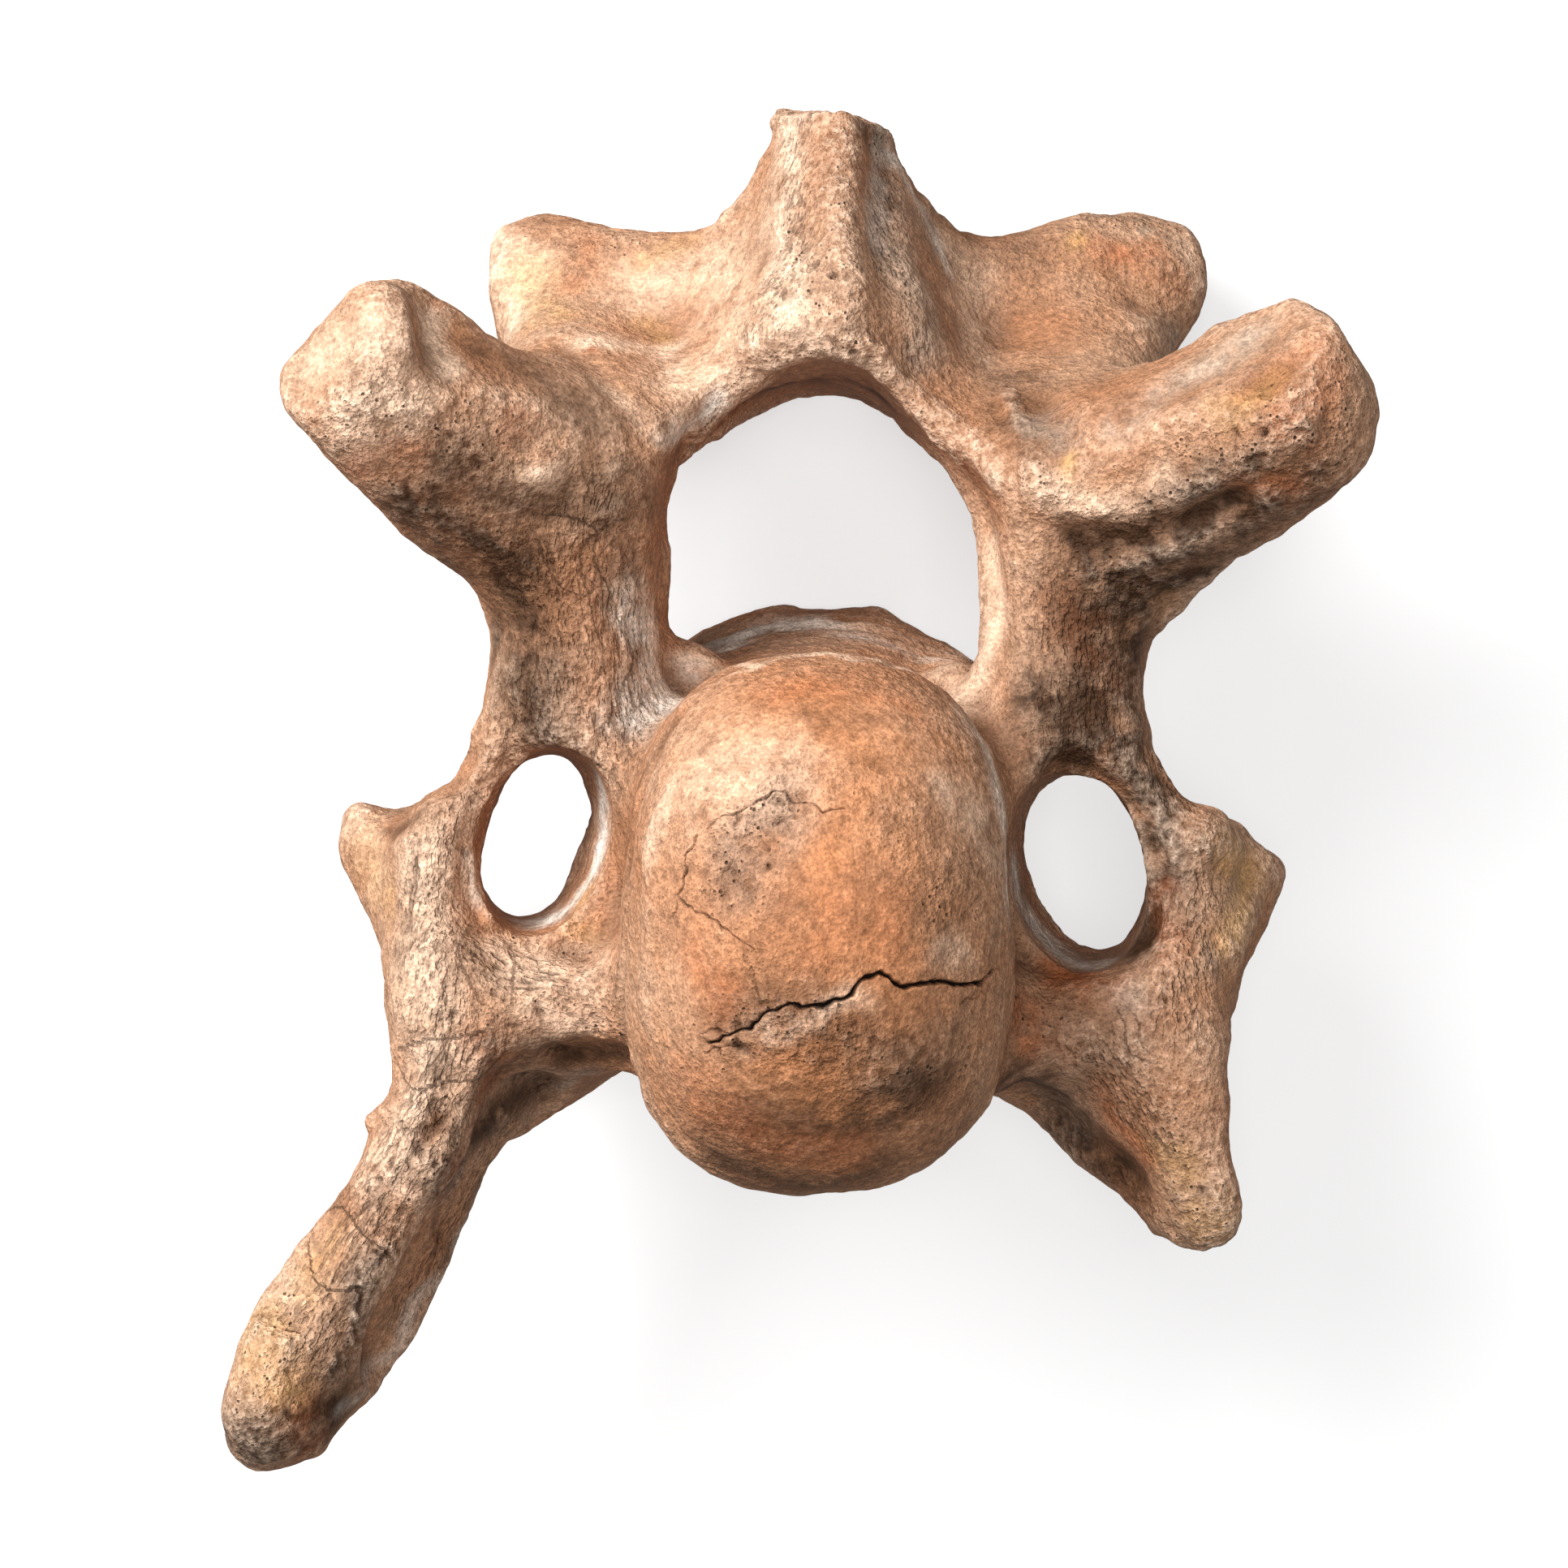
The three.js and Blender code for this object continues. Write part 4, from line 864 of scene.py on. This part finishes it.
# The dark brown colour also serves as painted shade, and the pale pink, near-white and grey ones also serve
# as painted light.
STAIN_AND_PAINTED_LIGHT_COLOURS = {
    "umber_and_painted_shade": paint(72, 49, 33), "peach_and_painted_light": paint(234, 200, 172), "rust": paint(172, 100, 60),
    "ash_and_painted_light": paint(176, 160, 144), "ochre": paint(196, 150, 98), "chalk_and_painted_light": paint(238, 228, 216)}
PORE_COLOUR = paint(66, 42, 26)
CRACK_COLOUR = paint(26, 15, 10)
BROWN_SHARE = 0.6
DUST_SHARE = 0.5
SUNKEN_DARKENING_SHARE = 0.7
THREAD_SHARE = 0.4
HOLLOW_SHARE = 0.5
THREADS_PER_MILLIMETRE = 1.4
SHAKES_PER_MILLIMETRE = 0.7
SHAKE_SIZE = 1.6
BLOCKS_PER_MILLIMETRE = 0.45
PORES_PER_MILLIMETRE = 0.95
PRICKS_PER_MILLIMETRE = 1.7
GRIT_HEIGHT = 0.0014
SHEEN = 0.15

material = bpy.data.materials.new("bone")
material.use_nodes = True
tree = material.node_tree
shader = tree.nodes["Principled BSDF"]


def node(kind, inputs, **settings):
    """A new node of the material, with plain values or other nodes' outputs on its inputs."""
    made = tree.nodes.new(kind)
    for name, value in settings.items():
        setattr(made, name, value)
    for socket, value in inputs.items():
        if isinstance(value, bpy.types.NodeSocket):
            tree.links.new(value, made.inputs[socket])
        else:
            made.inputs[socket].default_value = value
    return made


def times(one, other):
    return node("ShaderNodeMath", {0: one, 1: other}, operation="MULTIPLY").outputs[0]


def plus(one, other):
    return node("ShaderNodeMath", {0: one, 1: other}, operation="ADD").outputs[0]


def minus(one, other):
    return node("ShaderNodeMath", {0: one, 1: other}, operation="SUBTRACT").outputs[0]


def ramp(value, low, high):
    """0 where the value is at the low end, 1 at the high end, and evenly between."""
    return node("ShaderNodeMapRange", {"Value": value, "From Min": low, "From Max": high}).outputs[0]


def mixed(share, under, over):
    return node("ShaderNodeMix", {0: share, 6: under, 7: over}, data_type="RGBA").outputs[2]


def mark(name):
    return node("ShaderNodeAttribute", {}, attribute_name=name).outputs["Fac"]


def noise(vector, per_millimetre, detail):
    return node("ShaderNodeTexNoise", {"Vector": vector, "Scale": per_millimetre, "Detail": detail})


def dots(per_millimetre):
    """How far each place is from the nearest of some scattered dots."""
    return node("ShaderNodeTexVoronoi", {"Vector": place, "Scale": per_millimetre}).outputs["Distance"]


place = node("ShaderNodeTexCoord", {}).outputs["Object"]
place = node("ShaderNodeMapping", {"Vector": place, "Scale": [MILLIMETRES] * 3}).outputs[0]
broad = noise(place, 1 / 22, 1).outputs["Fac"]
patchy = noise(place, 1 / 5, 2).outputs["Fac"]
speckled = noise(place, 1 / 1.3, 3).outputs["Fac"]
fine_speckled = noise(place, 1 / 0.45, 2).outputs["Fac"]
strands = node("ShaderNodeAttribute", {}, attribute_name="strand").outputs["Vector"]
lines = noise(strands, THREADS_PER_MILLIMETRE, 2).outputs["Fac"]
shake = noise(strands, SHAKES_PER_MILLIMETRE, 0).outputs["Color"]
shaken = node(
    "ShaderNodeVectorMath", {0: shake, 1: [SHAKE_SIZE] * 3, 2: strands}, operation="MULTIPLY_ADD").outputs[0]
blocks = node(
    "ShaderNodeTexVoronoi", {"Vector": shaken, "Scale": BLOCKS_PER_MILLIMETRE}, feature="DISTANCE_TO_EDGE")

# Mottled bone with stains, some of them painted shade and light, dusty where worn and darker where sunken.
colour = mixed(ramp(broad, 0.35, 0.65), TAN, RUSSET)
colour = mixed(times(ramp(patchy, 0.45, 0.7), BROWN_SHARE), colour, BROWN)
colour = mixed(mark("clay"), colour, CLAY)
# Stains are mixed in here, among them painted shade and painted light.
for name, tone in STAIN_AND_PAINTED_LIGHT_COLOURS.items():
    ragged = times(mark(name), ramp(patchy, 0.2, 0.5))
    colour = mixed(ragged, colour, tone)
worn = plus(ramp(mark("bend"), 0.1, 0.9), times(ramp(mark("relief"), 0.1, 0.6), 0.5))
colour = mixed(times(times(worn, ramp(speckled, 0.3, 0.7)), DUST_SHARE), colour, DUST)
for speck, strength in ((patchy, 0.5), (speckled, 0.7), (fine_speckled, 0.7)):
    level = node("ShaderNodeMapRange", {
        "Value": speck, "From Min": 0.25, "From Max": 0.75,
        "To Min": 1 - strength / 2, "To Max": 1 + strength / 2})
    shade = node(
        "ShaderNodeMix", {0: 1.0, 6: colour, 7: level.outputs[0]}, data_type="RGBA", blend_type="MULTIPLY")
    colour = shade.outputs[2]
# Sunken places and low spots of the relief are darkened, but not under the near-white painted light.
sunken = times(ramp(mark("bend"), -0.1, -1.0), minus(1.0, mark("chalk_and_painted_light")))
sunken_darkening = plus(sunken, ramp(mark("relief"), -0.1, -0.7))
colour = mixed(times(times(sunken_darkening, ramp(speckled, 0.2, 0.6)), SUNKEN_DARKENING_SHARE), colour, PORE_COLOUR)

# Dark threads between fibres, crazed blocks, open pores, fine pricks, pits and cracks.
threads = times(mark("grain"), ramp(lines, 0.5, 0.34))
colour = mixed(times(threads, THREAD_SHARE), colour, PORE_COLOUR)
crackle = times(ramp(blocks.outputs["Distance"], 0.06, 0.01), mark("crazing"))
crackle = times(crackle, ramp(patchy, 0.35, 0.55))
colour = mixed(crackle, colour, PORE_COLOUR)
open_pores = times(ramp(dots(PORES_PER_MILLIMETRE), 0.3, 0.12), ramp(speckled, 0.5, 0.6))
porous = plus(times(mark("rough"), 0.8), 0.25)
open_pores = times(open_pores, minus(porous, times(mark("smooth"), 0.15)))
colour = mixed(open_pores, colour, PORE_COLOUR)
pricked = times(ramp(dots(PRICKS_PER_MILLIMETRE), 0.34, 0.14), ramp(fine_speckled, 0.43, 0.56))
pricked = times(pricked, minus(0.7, times(mark("smooth"), 0.4)))
colour = mixed(pricked, colour, PORE_COLOUR)
colour = mixed(times(mark("hollow"), HOLLOW_SHARE), colour, PORE_COLOUR)
colour = mixed(ramp(mark("crack"), 0.1, 0.7), colour, CRACK_COLOUR)
tree.links.new(colour, shader.inputs["Base Color"])

# Matt bone, a little less so on the joint faces, with a fine grit that threads and pores break up.
gloss = plus(times(mark("smooth"), -0.14), ramp(speckled, -1.2, 1.4))
tree.links.new(plus(gloss, 0.02), shader.inputs["Roughness"])
grit = minus(1.0, times(mark("smooth"), 0.6))
grit = plus(grit, times(mark("rough"), 0.6))
height = times(plus(times(speckled, 0.6), times(fine_speckled, 0.16)), grit)
height = minus(height, times(threads, 0.35))
height = minus(height, times(open_pores, 0.5))
bump = node("ShaderNodeBump", {"Height": height, "Strength": 1.0, "Distance": GRIT_HEIGHT})
tree.links.new(bump.outputs["Normal"], shader.inputs["Normal"])
shader.inputs["Specular IOR Level"].default_value = SHEEN
mesh.materials.append(material)

# The floor and the light: a plain pale board under the bone, as pale as the photograph's ground.
# The board glows a little and throws no light back on the bone, so that its shaded sides stay dark.
# A soft lamp stands at the upper left and a weaker one hangs above.
FLOOR_SIDE = 3.0
FLOOR_GREY = (0.4, 0.4, 0.4, 1)
FLOOR_ROUGHNESS = 0.9
FLOOR_GLOW = 0.62
LAMP_AIM = Vector((0, 0, 0.05))
KEY_LAMP = ("key", (-0.78, 0.6, 0.85), 0.7, 25)
TOP_LAMP = ("top", (0, 0, 1.3), 0.4, 6)
ROOM_LIGHT = (1, 0.97, 0.95, 1)
ROOM_LIGHT_STRENGTH = 0.3

floor_mesh = bpy.data.meshes.new("floor")
floor_mesh.from_pydata(
    [(-FLOOR_SIDE, -FLOOR_SIDE, 0), (FLOOR_SIDE, -FLOOR_SIDE, 0), (FLOOR_SIDE, FLOOR_SIDE, 0),
     (-FLOOR_SIDE, FLOOR_SIDE, 0)], [], [(0, 1, 2, 3)])
floor = bpy.data.objects.new("floor", floor_mesh)
bpy.context.scene.collection.objects.link(floor)
pale = bpy.data.materials.new("floor")
pale.use_nodes = True
board = pale.node_tree.nodes["Principled BSDF"]
board.inputs["Base Color"].default_value = FLOOR_GREY
board.inputs["Roughness"].default_value = FLOOR_ROUGHNESS
board.inputs["Emission Color"].default_value = (1, 1, 1, 1)
board.inputs["Emission Strength"].default_value = FLOOR_GLOW
floor_mesh.materials.append(pale)
floor.visible_diffuse = False
floor.visible_glossy = False


def softbox(name, stand, size, power):
    """A square lamp with this side in metres that faces the bone."""
    lamp = bpy.data.objects.new(name, bpy.data.lights.new(name, "AREA"))
    bpy.context.scene.collection.objects.link(lamp)
    lamp.location = stand
    lamp.data.size = size
    lamp.data.energy = power
    lamp.rotation_euler = (LAMP_AIM - Vector(stand)).to_track_quat("-Z", "Y").to_euler()


softbox(*KEY_LAMP)
softbox(*TOP_LAMP)
world = bpy.data.worlds.new("world")
bpy.context.scene.world = world
world.use_nodes = True
background = world.node_tree.nodes["Background"]
background.inputs["Color"].default_value = ROOM_LIGHT
background.inputs["Strength"].default_value = ROOM_LIGHT_STRENGTH
bpy.context.scene.view_settings.view_transform = "Standard"
